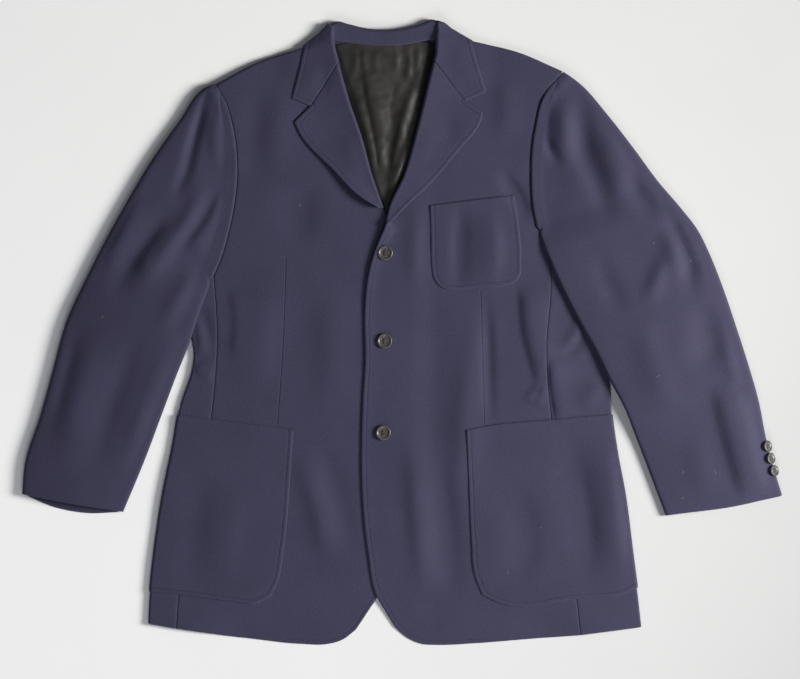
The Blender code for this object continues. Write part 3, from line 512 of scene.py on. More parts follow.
def nearest(points, line):
    """Distance from each point to the line, which side of it, and the share of the way along."""
    start, run = line[:-1, :2], np.diff(line[:, :2], axis=0)
    span = np.maximum((run**2).sum(1), 1e-9)
    offset = points[:, None] - start
    share = np.clip((offset * run).sum(2) / span, 0, 1)
    away = offset - share[..., None] * run
    distance = np.sqrt((away**2).sum(2))
    at = distance.argmin(1)
    rows = np.arange(len(points))
    cross = run[at, 0] * away[rows, at, 1] - run[at, 1] * away[rows, at, 0]
    way = lengths(line[:, :2])
    place = way[at] + share[rows, at] * np.sqrt(span[at])
    return distance[rows, at], np.sign(cross), place / way[-1]


def from_lines(x, y, lines):
    """Distance from points in plan to the nearest of the lines."""
    if not lines:
        return np.full(x.shape, FAR_FROM_EDGES)
    points = np.column_stack([x.ravel(), y.ravel()])
    return np.min([nearest(points, line)[0] for line in lines], axis=0).reshape(x.shape)


def near_line(x, y, line, reach):
    """The points within reach of the line, with distance, side and share of the way."""
    low, high = line.min(0) - reach, line.max(0) + reach
    inside = (x > low[0]) & (x < high[0]) & (y > low[1]) & (y < high[1])
    if not inside.any():
        return inside, None
    return inside, nearest(np.column_stack([x[inside], y[inside]]), line)


def swells(x, y, table):
    """Soft ridges, or troughs where the height is below 0, that fade out at their ends."""
    total = np.zeros_like(x)
    for height, left, right, points in table:
        line = curve(points)
        inside, found = near_line(x, y, line, SWELL_REACH * max(left, right))
        if found is None:
            continue
        away, side, share = found
        width = np.where(side > 0, left, right)
        fade = ease(share / SWELL_FADE) * ease((1 - share) / SWELL_FADE)
        total[inside] += height * np.exp(-((away / width) ** 2)) * fade
    return total


def creases(x, y, table):
    """A sharp line with the cloth rising from it on its left, then sinking away again."""
    total = np.zeros_like(x)
    for height, width, points in table:
        line = curve(points)
        inside, found = near_line(x, y, line, CREASE_REACH * width)
        if found is None:
            continue
        away, side, share = found
        off = away * side / width
        off = (off + np.sqrt(off**2 + CREASE_SOFTNESS)) / 2
        fade = ease(share / CREASE_FADE) * ease((1 - share) / CREASE_FADE)
        total[inside] += height * off * np.exp(1 - off) * fade
    return total


def spline(f):
    """The four weights of a smooth cubic blend."""
    return (
        (1 - f) ** 3 / 6,
        (3 * f**3 - 6 * f**2 + 4) / 6,
        (-3 * f**3 + 3 * f**2 + 3 * f + 1) / 6,
        f**3 / 6,
    )


def rumple(x, y, size, seed):
    """Soft rises and hollows of about the given size, from -1 to 1."""
    chance = np.random.default_rng(seed)
    heights = chance.uniform(-RUMPLE_HEIGHT, RUMPLE_HEIGHT, (RUMPLE_CELLS, RUMPLE_CELLS))
    u, v = x / size, y / size
    i, j = np.floor(u).astype(int), np.floor(v).astype(int)
    total = np.zeros_like(x)
    for right, weight_x in enumerate(spline(u - i)):
        for up, weight_y in enumerate(spline(v - j)):
            cell = (i + right) % RUMPLE_CELLS, (j + up) % RUMPLE_CELLS
            total += weight_x * weight_y * heights[cell]
    return total


def rumples(x, y, table):
    """Rumples of several sizes together. Columns of the table: height, size, seed."""
    return sum(height * rumple(x, y, size, seed) for height, size, seed in table)


def wool():
    """Fine navy wool with a purple cast, its weave along the piece's own pattern."""
    cloth = Finish("navy_wool")
    where = cloth.add("ShaderNodeUVMap", {"uv_map": "pattern"}, {}).outputs[0]
    apart = cloth.add("ShaderNodeSeparateXYZ", {}, {0: where})
    turns = 2 * math.pi / (THREAD_PITCH * MM)
    warp = (Number(cloth, apart.outputs[0]) * turns).then("SINE")
    weft = (Number(cloth, apart.outputs[1]) * turns).then("SINE")
    fibres = cloth.noise(where, 1100.0, 4.0, 0.7)
    slub = cloth.noise(where, 330.0, 4.0, 0.65)
    cloud = cloth.noise(where, 14.0, 3.0)
    stitch = cloth.attribute("stitch").bell(STITCH_INSET * MM, STITCH_LINE[0] * MM)
    seam = cloth.attribute("seam").bell(0.0, SEAM_LINE[0] * MM)
    worn_and_lit_edge = cloth.attribute("edge").bell(0.0, EDGE_WEAR_AND_HIGHLIGHT[0] * MM)
    dart = cloth.attribute("dart").bell(0.0, DART_WIDTH * MM) * cloth.attribute("dart_share")
    seam = seam.then("MAXIMUM", dart)
    tone = warp * weft * WEAVE_TONE + (fibres - 0.5) * FIBRE_TONE + (slub - 0.5) * FIBRE_TONE
    tone = tone + (cloud - 0.5) * CLOUD_TONE
    colour = cloth.mix((tone + 0.5).then("MAXIMUM", 0.0), WOOL_DEEP, WOOL_PALE)
    # Edges paler, partly as wear and partly as a painted highlight
    colour = cloth.mix(worn_and_lit_edge * EDGE_WEAR_AND_HIGHLIGHT[1], colour, WOOL_PALE)
    # Stitching, seams and darts darker, as painted shade in their grooves
    colour = cloth.mix(stitch * STITCH_LINE[1] + seam * SEAM_LINE[1], colour, WOOL_GROOVE_SHADE)
    height = warp * weft * WEAVE_RELIEF + fibres * FIBRE_RELIEF + slub * FIBRE_RELIEF
    height = height - stitch * STITCH_RELIEF - seam * SEAM_RELIEF
    return cloth.shade(
        Base_Color=colour, Roughness=0.82 + (fibres - 0.5) * 0.1, Normal=cloth.bump(height),
        Specular_IOR_Level=0.25, Sheen_Weight=0.14, Sheen_Roughness=0.4,
        Sheen_Tint=WOOL_SHEEN,
    )


def write_layer(mesh, label, values):
    """One number for each point of the mesh, for its material to read."""
    layer = mesh.attributes.new(label, "FLOAT", "POINT")
    layer.data.foreach_set("value", values.ravel().astype(np.float32))


def cloth_mesh(name, grid, finish, stitched, plain, seams, dart, grain):
    """The grid as one sheet, its edges rounded and its seams sunk, with its pattern as UVs."""
    u, v = grid[..., 3], grid[..., 4]
    stitch, edge = from_lines(u, v, stitched), from_lines(u, v, list(stitched) + list(plain))
    seam = from_lines(u, v, seams)
    width, depth = EDGE_ROUNDING
    turned_in = np.clip(1 - edge / width, 0, 1)
    sunk = depth * (1 - np.sqrt(1 - turned_in**2))
    width, depth = SEAM_SINK
    sunk += depth * np.exp(-seam / width)
    width, depth = STITCH_SINK
    sunk += depth * np.exp(-(((stitch - STITCH_INSET) / width) ** 2))
    reach, height = SEAM_PUCKERS
    puckers = height * np.exp(-seam / reach)
    reach, height = STITCH_PUCKERS
    puckers += height * np.exp(-stitch / reach)
    z = grid[..., 2] - sunk + puckers * rumple(u, v, PUCKER_SIZE, PUCKER_SEED)
    z = np.maximum(z, LOWEST_MIDDLE)
    rows, columns = z.shape
    points = np.dstack([grid[..., :2], z]).reshape(-1, 3) * MM
    number = np.arange(rows * columns).reshape(rows, columns)
    faces = np.stack(
        [number[:-1, :-1], number[1:, :-1], number[1:, 1:], number[:-1, 1:]], axis=-1
    ).reshape(-1, 4)
    first, last = grid[1:-1, 1:-1, 3:], grid[2:, 1:-1, 3:]
    down, across = last - first, grid[1:-1, 2:, 3:] - first
    if np.sum(down[..., 0] * across[..., 1] - down[..., 1] * across[..., 0]) < 0:
        faces = faces[:, ::-1]
    mesh = bpy.data.meshes.new(name)
    mesh.from_pydata(points.tolist(), [], faces.tolist())
    layers = {"stitch": stitch * MM, "edge": edge * MM, "seam": seam * MM}
    if dart is not None:
        away, side, share = nearest(np.column_stack([u.ravel(), v.ravel()]), dart)
        layers["dart"] = away * side * MM
        layers["dart_share"] = ease(share / DART_FADE) * ease((1 - share) / DART_FADE)
    for label, values in layers.items():
        write_layer(mesh, label, values)
    turn = np.array([[math.cos(grain), -math.sin(grain)], [math.sin(grain), math.cos(grain)]])
    pattern = (grid[..., 3:].reshape(-1, 2) @ turn) * MM
    corners = np.empty(len(mesh.loops), np.int32)
    mesh.loops.foreach_get("vertex_index", corners)
    layer = mesh.uv_layers.new(name="pattern")
    layer.data.foreach_set("uv", pattern[corners].ravel().astype(np.float32))
    mesh.materials.append(finish)
    mesh.shade_smooth()
    return mesh, pattern.reshape(rows, columns, 2)


def add_cloth(
    node, grid, finish, wall=WALL, stitched=(), plain=(), seams=(), dart=None,
    grain=0.0,
):
    """A sewn piece of cloth in place of its CAD node. The grid is the middle of its wall."""
    name = f"{node}_cloth"
    mesh, pattern = cloth_mesh(name, grid, finish, stitched, plain, seams, dart, grain)
    piece = add_object(name, mesh)
    solidify = piece.modifiers.new("Wall", "SOLIDIFY")
    solidify.thickness = wall * MM
    solidify.offset = 0
    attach(piece, "root")
    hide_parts(node)
    width, length = (pattern.reshape(-1, 2).max(0) - pattern.reshape(-1, 2).min(0)).tolist()
    one, two = pattern[1:, 1:] - pattern[:-1, :-1], pattern[1:, :-1] - pattern[:-1, 1:]
    area = float(np.abs(one[..., 0] * two[..., 1] - one[..., 1] * two[..., 0]).sum() / 2)
    return piece


def collar_rise(x, y):
    """What lies over the fall behind the neck is raised by it."""
    start, ramp = NECK_TO_COLLAR_RAMP
    across = ease((COLLAR_HALF_WIDTH - np.abs(x - NECK_X)) / COLLAR_SIDE_RAMP)
    return COLLAR_UNDER * ease((y - start) / ramp) * across


def back_height(x, y):
    return BACK_HEIGHT + collar_rise(x, y) + swells(x, y, BACK_SWELLS)


def body_height(x, y):
    """The fronts and side panels where they lie smoothly on the back."""
    fuller = sum(
        np.exp(-((x - tip_x) ** 2 + (y - tip_y) ** 2) / SHOULDER_SPREAD**2)
        for tip_x, tip_y in SHOULDER_TIPS
    )
    return FRONT_HEIGHT + collar_rise(x, y) + SHOULDER_FULLNESS * fuller


wool_finish = wool()
for hand in ("right", "left"):
    outer = join(ARMHOLE_TOPS[hand], ARMHOLES[hand], UNDERARMS[hand], SIDE_FOLDS[hand])
    top = join(SHOULDERS[hand], NECKLINES[hand])
    grid = panel(top, curve(BACK_HEMS[hand]), outer, curve(BACK_CENTRE))
    at_side = grid[:, 0, 1] < UNDERARMS[hand][1][1]
    grid = trim(grid, "inner", SEAM_GAP / 2)
    grid = trim(grid, "outer", np.where(at_side, SIDE_RADIUS + PAST_FOLD, SEAM_GAP / 2))
    edge = grid[0]
    at_shoulder = np.abs(edge[:, 0] - NECK_X) > abs(SHOULDERS[hand][-1][0] - NECK_X)
    radii = (body_height(*edge.T) - BACK_HEIGHT - collar_rise(*edge.T)) / 2
    grid = trim(grid, "top", np.where(at_shoulder, radii + PAST_FOLD, 0.0))
    add_cloth(
        f"back_{hand}", raised(grid, back_height(grid[..., 0], grid[..., 1])), wool_finish,
        plain=[curve(BACK_HEMS[hand])], seams=[curve(BACK_CENTRE)],
    )


# The fall of the collar behind the neck
# Wool, folded over the stand and flat on the ground under the back, where only its lower
# edge shows from behind.
FALL_BACK_TOP = [
    (-126.0, 375.5), (-92.5, 402.5), (-70.0, 401.0), (-45.0, 395.5), (-21.3, 394.2),
    (0.0, 395.8), (25.0, 402.0), (48.5, 406.4), (87.5, 384.6),
]
FALL_BACK_HEM = [(-122.0, 352.0), (-70.0, 346.0), (-21.0, 344.0), (30.0, 347.0), (82.0, 357.0)]
FALL_BACK_DEPTH = 11.8

top, hem = curve(FALL_BACK_TOP), curve(FALL_BACK_HEM)
ends = np.array([top[0], hem[0]]), np.array([top[-1], hem[-1]])
grid = trim(panel(top, hem, *ends), "top", FALL_BACK_DEPTH)
add_cloth(
    "collar_fall_back", raised(grid, np.full(grid.shape[:2], BACK_HEIGHT)), wool_finish,
    plain=[hem],
)


# The side panels
# Wool panels under the arms, sewn to the fronts and folded round the sides of the body to
# meet the back.
SIDE_SEAMS = {
    "right": [
        (-245.4, 72.8), (-240.8, -9.1), (-242.8, -50.3), (-249.0, -112.8), (-263.0, -205.0),
        (-278.0, -285.0), (-290.9, -342.6), (-294.3, -386.0),
    ],
    "left": [
        (174.2, 139.1), (192.5, 97.0), (193.5, 55.0), (187.9, -17.4), (190.5, -76.7),
        (194.6, -115.1), (203.0, -200.0), (214.0, -280.0), (227.1, -346.8), (232.4, -394.6),
    ],
}
SIDE_HEMS = {
    "right": [(-330.6, -379.5), (-294.3, -386.0)],
    "left": [(312.0, -384.0), (232.4, -394.6)],
}
# The back's hem, as a curve that the fronts sink past
HEM_X = -9.0
HEM_MIDDLE_Y = -325.0
HEM_HALF_WIDTH = 320.0
HEM_RISE = 56.0
HEM_POWER = 1.2
# Where the fronts sink: from the hem's curve up, and from the sides in. Columns: place, ramp.
DROOP_RAMP = (-35.0, 60.0)
DROOP_SIDES = (270.0, 80.0)
DROOP_FLATTENS = 0.8
DEEPEST_FOLD = -3.3
BODY_FOLD_DEPTH = 1.65
# Columns: height, size, seed
BODY_RUMPLES = [(0.8, 66.0, 1), (0.4, 23.0, 2)]
# Folds of the fronts and side panels. Columns: height, width on the line's left and
# right, the line going down.
BODY_SWELLS = [
    (-3.0, 8.0, 11.0, [(124.0, 214.0), (142.0, 190.0), (158.0, 160.0), (163.0, 140.0)]),
    (-2.0, 20.0, 26.0, [(-133.0, 205.0), (-132.0, 160.0), (-138.0, 105.0)]),
    (1.9, 24.0, 30.0, [(-172.0, 90.0), (-182.0, 0.0), (-198.0, -90.0)]),
    (1.7, 26.0, 22.0, [(-98.0, 80.0), (-92.0, -20.0), (-98.0, -130.0)]),
    (2.4, 22.0, 15.0, [(-138.0, -140.0), (-112.0, -220.0), (-90.0, -320.0)]),
    (-1.6, 14.0, 20.0, [(-110.0, -130.0), (-84.0, -220.0), (-62.0, -300.0)]),
    (2.0, 22.0, 16.0, [(96.0, 30.0), (84.0, -80.0), (72.0, -260.0)]),
    (-2.2, 6.0, 9.0, [(110.0, 60.0), (113.0, -30.0), (116.0, -135.0)]),
    (2.4, 20.0, 13.0, [(12.0, -120.0), (20.0, -230.0), (34.0, -370.0)]),
    (-1.8, 12.0, 18.0, [(46.0, -150.0), (60.0, -250.0), (66.0, -380.0)]),
    (-1.5, 22.0, 28.0, [(40.0, 60.0), (36.0, -60.0), (44.0, -200.0)]),
    (3.6, 14.0, 24.0, [(262.0, -110.0), (272.0, -200.0), (280.0, -270.0), (282.0, -350.0)]),
    (-2.4, 15.0, 22.0, [(214.0, -120.0), (228.0, -200.0), (240.0, -270.0), (236.0, -350.0)]),
    (-2.0, 16.0, 22.0, [(150.0, -190.0), (162.0, -270.0), (152.0, -345.0)]),
    (1.1, 18.0, 28.0, [(-206.0, -190.0), (-226.0, -260.0), (-232.0, -345.0)]),
    (-0.9, 18.0, 18.0, [(-258.0, -170.0), (-270.0, -260.0), (-282.0, -350.0)]),
    (1.4, 22.0, 22.0, [(-150.0, 330.0), (-160.0, 270.0), (-172.0, 200.0)]),
    (-1.2, 20.0, 16.0, [(-186.0, 330.0), (-194.0, 260.0), (-190.0, 180.0)]),
    (1.4, 20.0, 14.0, [(128.0, 345.0), (136.0, 290.0), (128.0, 240.0)]),
    (1.6, 10.0, 14.0, [(21.0, 175.0), (18.0, 110.0), (17.0, 50.0)]),
    (-2.3, 12.0, 9.0, [(76.0, 176.0), (74.0, 110.0), (73.0, 44.0)]),
    (2.2, 12.0, 22.0, [(112.0, 176.0), (120.0, 105.0), (112.0, 44.0)]),
    (-1.3, 7.0, 11.0, [(-262.0, 40.0), (-256.0, 5.0), (-248.0, -26.0)]),
    (1.5, 9.0, 6.0, [(-270.0, 30.0), (-262.0, 0.0), (-262.0, -40.0)]),
    (1.4, 7.0, 8.0, [(235.0, 20.0), (224.0, -4.0), (205.0, -22.0)]),
    (-1.0, 6.0, 6.0, [(240.0, -4.0), (226.0, -20.0), (206.0, -34.0)]),
    (1.3, 10.0, 13.0, [(262.0, -60.0), (246.0, -84.0), (228.0, -100.0)]),
]
# Their sharp creases. Columns: height, width, the line going down.
BODY_CREASES = [
    (3.0, 15.0, [(150.0, 70.0), (152.0, 40.0), (157.0, -6.0), (168.0, -48.0), (176.0, -82.0)]),
    (2.2, 10.0, [(190.0, -30.0), (192.0, -70.0), (201.0, -122.0)]),
    (1.0, 6.0, [(178.0, -62.0), (166.0, -76.0), (156.0, -90.0)]),
    (0.9, 5.0, [(184.0, -66.0), (176.0, -84.0), (170.0, -94.0)]),
    (1.0, 9.0, [(-228.0, 60.0), (-222.0, 20.0), (-226.0, -40.0)]),
    (1.1, 8.0, [(-274.0, -44.0), (-262.0, -60.0), (-246.0, -66.0)]),
]


def soft_floor(folds, lowest):
    """The folds, eased off so that none is deeper than the lowest."""
    return np.where(folds < 0, lowest * np.tanh(folds / lowest), folds)


def front_droop(x, y):
    """The fronts sink to the ground past the back's hem."""
    aside = np.abs(x - HEM_X)
    hem_y = HEM_MIDDLE_Y - HEM_RISE * (aside / HEM_HALF_WIDTH) ** HEM_POWER
    start, ramp = DROOP_RAMP
    sides, side_ramp = DROOP_SIDES
    past = 1 - ease((y - hem_y - start) / ramp)
    return (FRONT_HEIGHT - BACK_HEIGHT) * past * ease((sides - aside) / side_ramp)


def front_height(x, y):
    """The fronts and side panels with their folds. Near the ground the folds shrink."""
    droop = front_droop(x, y)
    folds = BODY_FOLD_DEPTH * (swells(x, y, BODY_SWELLS) + creases(x, y, BODY_CREASES))
    folds += rumples(x, y, BODY_RUMPLES)
    folds *= 1 - DROOP_FLATTENS * droop / (FRONT_HEIGHT - BACK_HEIGHT)
    return body_height(x, y) - droop + soft_floor(folds, DEEPEST_FOLD)


for hand in ("right", "left"):
    fold = curve(SIDE_FOLDS[hand])
    top, hem = curve(UNDERARMS[hand][::-1]), curve(SIDE_HEMS[hand])
    grid = panel(top, hem, fold, curve(SIDE_SEAMS[hand]))
    grid = trim(grid, "inner", SEAM_GAP / 4)
    grid = trim(grid, "outer", SIDE_RADIUS + WALL / 2)
    grid = raised(grid, front_height(grid[..., 0], grid[..., 1]))
    radii = (grid[:, 0, 2] - BACK_HEIGHT) / 2
    add_cloth(
        f"side_panel_{hand}", curl(grid, "outer", radii), wool_finish, plain=[hem],
        seams=[curve(SIDE_SEAMS[hand]), top],
    )


# The fronts
# Wool over canvas. The wearer's left front closes over the right, its edge standing a
# little off it below the lapels. Edges and rounded hems are topstitched.
LAP_STEP = 2.1
# Where the left front lies over the right one. Columns: the limit, the ramp inside it.
LAP_X = (46.0, 36.0)
LAP_TOP = (215.0, 50.0)
LAP_BOTTOM = (-402.0, 50.0)
# The upper front's edge stands off the lower one. Columns: y, height.
EDGE_LIFT = [
    (-360.0, 0.3), (-150.0, 0.6), (20.0, 1.2), (80.0, 2.7), (108.0, 3.4), (135.0, 5.4),
    (175.0, 4.6),
]
EDGE_LIFT_WIDTH = 9.5
# Where the lift ends. Columns: y, ramp.
EDGE_LIFT_END = (210.0, 40.0)
ROLLS = {
    "right": [
        (-90.0, 384.5), (-82.0, 352.0), (-69.0, 304.2), (-53.2, 258.4), (-39.3, 206.7),
        (-23.2, 159.0),
    ],
    "left": [
        (47.0, 389.0), (41.6, 360.0), (32.6, 322.1), (20.5, 272.4), (0.7, 202.8),
        (-17.3, 163.0), (-20.6, 142.0),
    ],
}
FRONT_EDGES = {
    "right": [
        (-20.5, 152.0), (-4.0, 125.0), (2.0, 80.0), (3.0, 0.0), (2.0, -100.0), (-2.0, -200.0),
        (-12.0, -280.0), (-32.1, -344.5), (-46.9, -368.3), (-60.3, -388.4),
    ],
    "left": [
        (-22.2, 135.5), (-29.9, 118.3), (-38.5, 95.0), (-44.6, 67.6), (-48.4, 22.1),
        (-47.5, -33.2), (-50.7, -89.7), (-52.5, -178.1), (-49.1, -245.1), (-43.6, -289.9),
        (-32.5, -344.5), (-23.5, -360.1), (-9.1, -383.9),
    ],
}
HEMS = {
    "right": [
        (-294.3, -386.0), (-197.0, -399.6), (-125.0, -407.0), (-100.6, -407.4),
        (-78.3, -401.7), (-60.3, -388.4),
    ],
    "left": [
        (232.4, -394.6), (155.0, -401.0), (83.9, -406.5), (49.4, -407.8), (25.5, -406.5),
        (6.9, -398.6), (-9.1, -383.9),
    ],
}
DARTS = {
    "right": [(-151.1, 99.6), (-155.0, -10.0), (-162.5, -123.5)],
    "left": [(102.1, 57.5), (104.6, -30.0), (107.1, -122.7)],
}
# Where the topstitching of each hem ends, at the straight part. Columns: x.
HEM_STITCH_ENDS = {"right": -150.0, "left": 110.0}
# The lapel's roll from the neck down. Columns: distance below the neck's line, fold radius.
LAPEL_ROLL_RADIUS = np.array([(0.0, 3.7), (100.0, 3.5), (170.0, 2.8), (205.0, 2.2)])
ROLL_TOP_Y = 352.0
ROLL_CLEARANCE = 1.4
ROLL_END_TAPER = 16.0


def upper_front_height(x, y):
    """The wearer's left front, stepped over the edge of the right one."""
    (end, ramp), (top, top_ramp), (bottom, bottom_ramp) = LAP_X, LAP_TOP, LAP_BOTTOM
    inside = ease((top - y) / top_ramp) * ease((y - bottom) / bottom_ramp)
    step = LAP_STEP * ease((end - x) / ramp) * inside
    away = from_lines(x, y, [curve(FRONT_EDGES["left"])])
    lift_y, lift = np.array(EDGE_LIFT).T
    lift_end, lift_ramp = EDGE_LIFT_END
    lift = np.interp(y, lift_y, lift) * ease((lift_end - y) / lift_ramp)
    return front_height(x, y) + step + lift * np.exp(-((away / EDGE_LIFT_WIDTH) ** 2))


def roll_radii(y):
    return np.interp(ROLL_TOP_Y - y, LAPEL_ROLL_RADIUS[:, 0], LAPEL_ROLL_RADIUS[:, 1])


front_heights = {"right": front_height, "left": upper_front_height}
for hand in ("right", "left"):
    outer = join(ARMHOLE_TOPS[hand], ARMHOLES[hand], SIDE_SEAMS[hand])
    roll, front_edge = curve(ROLLS[hand]), curve(FRONT_EDGES[hand])
    hem = curve(HEMS[hand])
    grid = panel(curve(SHOULDERS[hand]), hem, outer, np.vstack([roll, front_edge]))
    inner_y = grid[:, -1, 1]
    under_roll = roll_radii(inner_y) + WALL / 2 + FOLD_LIP + ROLL_CLEARANCE
    under_roll *= ease((inner_y - roll[-1, 1]) / ROLL_END_TAPER)
    grid = trim(grid, "outer", SEAM_GAP / 4)
    grid = trim(grid, "inner", under_roll)
    radii = (body_height(*grid[0].T) - BACK_HEIGHT - collar_rise(*grid[0].T)) / 2
    grid = trim(grid, "top", radii + WALL / 2)
    grid = raised(grid, front_heights[hand](grid[..., 0], grid[..., 1]))
    radii = (grid[0, :, 2] - BACK_HEIGHT - collar_rise(grid[0, :, 0], grid[0, :, 1])) / 2
    rounded = hem[np.abs(hem[:, 0] - NECK_X) < abs(HEM_STITCH_ENDS[hand] - NECK_X)]
    seams = [join(ARMHOLE_TOPS[hand], ARMHOLES[hand]), curve(SIDE_SEAMS[hand])]
    add_cloth(
        f"front_{hand}", curl(grid, "top", radii), wool_finish, stitched=[front_edge, rounded],
        plain=[hem], seams=seams, dart=curve(DARTS[hand]),
    )


# The patch pockets
# Two large pockets that run round the sides of the body and one small one on the chest,
# each a single layer of the wool with rounded corners, topstitched on but for the mouth.
POCKET_WALL = 1.2
POCKET_OVER = WALL / 2 + SEAM_GAP + POCKET_WALL / 2
POCKET_STEP = 2.4
MOUTH_LIFT = 0.8
MOUTH_WIDTH = 14.0
# Columns: height, size, seed
POCKET_RUMPLES = [(0.3, 30.0, 7)]
POCKETS = {
    "right": {
        "top": [(-291.0, -108.6), (-215.0, -119.0), (-142.1, -128.3)],
        "inner": [
            (-142.1, -128.3), (-145.3, -178.0), (-155.5, -289.9), (-162.2, -325.7),
            (-171.2, -343.6),
        ],
        "bottom": [
            (-328.2, -338.0), (-290.9, -341.4), (-228.3, -349.7), (-189.0, -352.6),
            (-171.2, -343.6),
        ],
    },
    "left": {
        "top": [(273.4, -107.5), (194.4, -114.4), (107.6, -123.1), (84.2, -127.7)],
        "inner": [
            (84.2, -127.7), (87.1, -196.2), (90.5, -271.6), (94.8, -316.9), (104.5, -342.0),
        ],
        "bottom": [
            (306.1, -332.0), (290.9, -339.6), (226.2, -347.1), (127.0, -353.5), (104.5, -342.0),
        ],
    },
}
CHEST_POCKET = {
    "top": [(36.7, 164.5), (92.0, 171.5), (146.0, 177.7)],
    "bottom": [
        (46.0, 63.2), (51.5, 58.4), (63.0, 55.2), (100.0, 58.5), (136.0, 61.6), (146.0, 64.8),
        (150.5, 69.0),
    ],
    "left": [
        (36.7, 164.5), (38.0, 120.0), (39.0, 86.0), (41.4, 71.0), (46.0, 63.2),
    ],
    "right": [
        (146.0, 177.7), (151.1, 143.0), (154.8, 92.0), (154.0, 76.0), (150.5, 69.0),
    ],
}


def pocket_height(hand, mouth, x, y):
    """The pocket on its front, its mouth a little open."""
    away = from_lines(x, y, [mouth])
    gape = MOUTH_LIFT * np.exp(-((away / MOUTH_WIDTH) ** 2)) + rumples(x, y, POCKET_RUMPLES)
    return front_heights[hand](x, y) + POCKET_OVER + gape


for hand, lines in POCKETS.items():
    fold = curve(SIDE_FOLDS[hand])
    top, bottom = np.array(lines["top"]), np.array(lines["bottom"])
    for line in (top, bottom):
        line[0, 0] = np.interp(-line[0, 1], -fold[:, 1], fold[:, 0])
    fold = fold[(fold[:, 1] < top[0, 1]) & (fold[:, 1] > bottom[0, 1])]
    fold = np.vstack([top[0], fold, bottom[0]])
    inner = curve(lines["inner"])
    grid = panel(curve(top), curve(bottom), fold, inner)
    grid = trim(grid, "outer", SIDE_RADIUS + WALL / 2)
    grid = raised(grid, pocket_height(hand, curve(top), grid[..., 0], grid[..., 1]))
    grid = curl(grid, "outer", SIDE_RADIUS + POCKET_OVER, lip=0, whole=math.pi / 2)
    add_cloth(
        f"patch_pocket_{hand}", grid, wool_finish, wall=POCKET_WALL,
        stitched=[inner, curve(bottom)], plain=[curve(top)],
    )

lines = {name: curve(points) for name, points in CHEST_POCKET.items()}
grid = panel(lines["top"], lines["bottom"], lines["left"], lines["right"], POCKET_STEP)
grid = raised(grid, pocket_height("left", lines["top"], grid[..., 0], grid[..., 1]))
add_cloth(
    "chest_pocket", grid, wool_finish, wall=POCKET_WALL,
    stitched=[lines["left"], lines["bottom"], lines["right"]], plain=[lines["top"]],
)


# The sleeves
# Each is a top sleeve folded round both edges of the arm and an under sleeve between the
# folds. They are set in full at the armhole and lie over the sides of the body.
SLEEVE_OUTERS = {
    "right": [
        (-243.0, 323.5), (-255.3, 319.2), (-290.9, 273.9), (-324.4, 226.5), (-363.1, 161.7),
        (-386.8, 118.7), (-412.6, 67.6), (-436.4, 15.9), (-455.8, -53.2), (-472.0, -111.3),
        (-491.0, -170.0), (-495.0, -210.5),
    ],
    "left": [
        (210.8, 338.8), (230.0, 325.0), (269.5, 280.8), (302.0, 238.9), (334.5, 195.0),
        (362.3, 162.5), (385.6, 132.1), (399.5, 104.3), (414.4, 67.6), (436.7, 2.6),
        (451.0, -42.0), (464.1, -87.6), (474.9, -141.4), (487.8, -188.9), (495.3, -212.7),
    ],
}
SLEEVE_INNERS = {
    "right": [
        (-245.4, 72.8), (-260.5, 33.8), (-278.9, -21.2), (-292.0, -53.2), (-313.6, -109.2),
        (-332.9, -160.9), (-363.1, -233.7),
    ],
    "left": [
        (174.2, 139.1), (190.6, 97.5), (209.2, 55.5), (228.7, 16.9), (251.6, -24.2),
        (271.2, -65.0), (287.3, -95.0), (308.9, -147.9), (326.2, -193.2), (343.3, -238.6),
    ],
}
CUFFS = {
    "right": [(-495.0, -210.5), (-451.5, -219.0), (-408.3, -226.6), (-363.1, -233.7)],
    "left": [(495.3, -212.7), (431.7, -225.6), (343.3, -238.6)],
}
UNDER_CUFFS = {
    "right": [(-495.0, -210.5), (-452.0, -228.0), (-410.5, -235.5), (-363.1, -233.7)],
    "left": [(495.3, -212.7), (431.7, -227.5), (343.3, -238.6)],
}
# Cross-sections. Columns: share of the way from the shoulder to the cuff, radius of the
# fold at the inner edge, radius at the outer edge, crown of the middle.
SLEEVE_SECTIONS = np.array([
    (0.0, 2.6, 4.6, 0.5), (0.2, 2.6, 5.0, 3.0), (0.4, 2.6, 5.2, 4.5), (0.6, 3.4, 5.0, 4.5),
    (0.85, 3.6, 4.6, 4.0), (1.0, 3.2, 4.0, 3.5),
])
# Where the sleeve lies over the body's side. Columns: y at which the lift begins, y where
# it is whole, y where it starts to fade, y where it is gone.
SLEEVE_LIFT = {"right": (125.0, 82.0, -35.0, -115.0), "left": (195.0, 148.0, -80.0, -160.0)}
SLEEVE_OVER_BODY = 6.9
SLEEVE_LIFT_MARGIN = 18.0
SLEEVE_LIFT_RAMP = 42.0
SLEEVE_SEAM_STEP = 0.5
SLEEVE_STEP = 3.0
CROWN_POWER = 0.8
DEEPEST_SLEEVE_FOLD = -8.0
SLEEVE_FOLD_DEPTH = {"right": 1.6, "left": 2.3}
# How soon the folds are whole, going in from the outer and from the inner edge
SLEEVE_FOLD_EASE = (7, 5.5)
# Past the armhole's end the sleeve's edge turns under over this distance. Its height goes
# from the seam's to the fold's. Columns: how far before the end that starts, ramp.
ARMHOLE_TO_FOLD = 22.0
ARMHOLE_TO_LIFT = (5.0, 44.0)
# The full head of the sleeve beside its seam. Columns: height, place, width.
SLEEVE_HEAD = (1.3, 9.0, 6.5)
SLEEVE_GRAIN = {"right": -0.42, "left": 0.42}
# The under sleeve begins to lift so far before the armhole's end, over this distance.
UNDER_SLEEVE_TO_LIFT = (6.0, 24.0)
UNDER_SLEEVE_RISE = 0.5
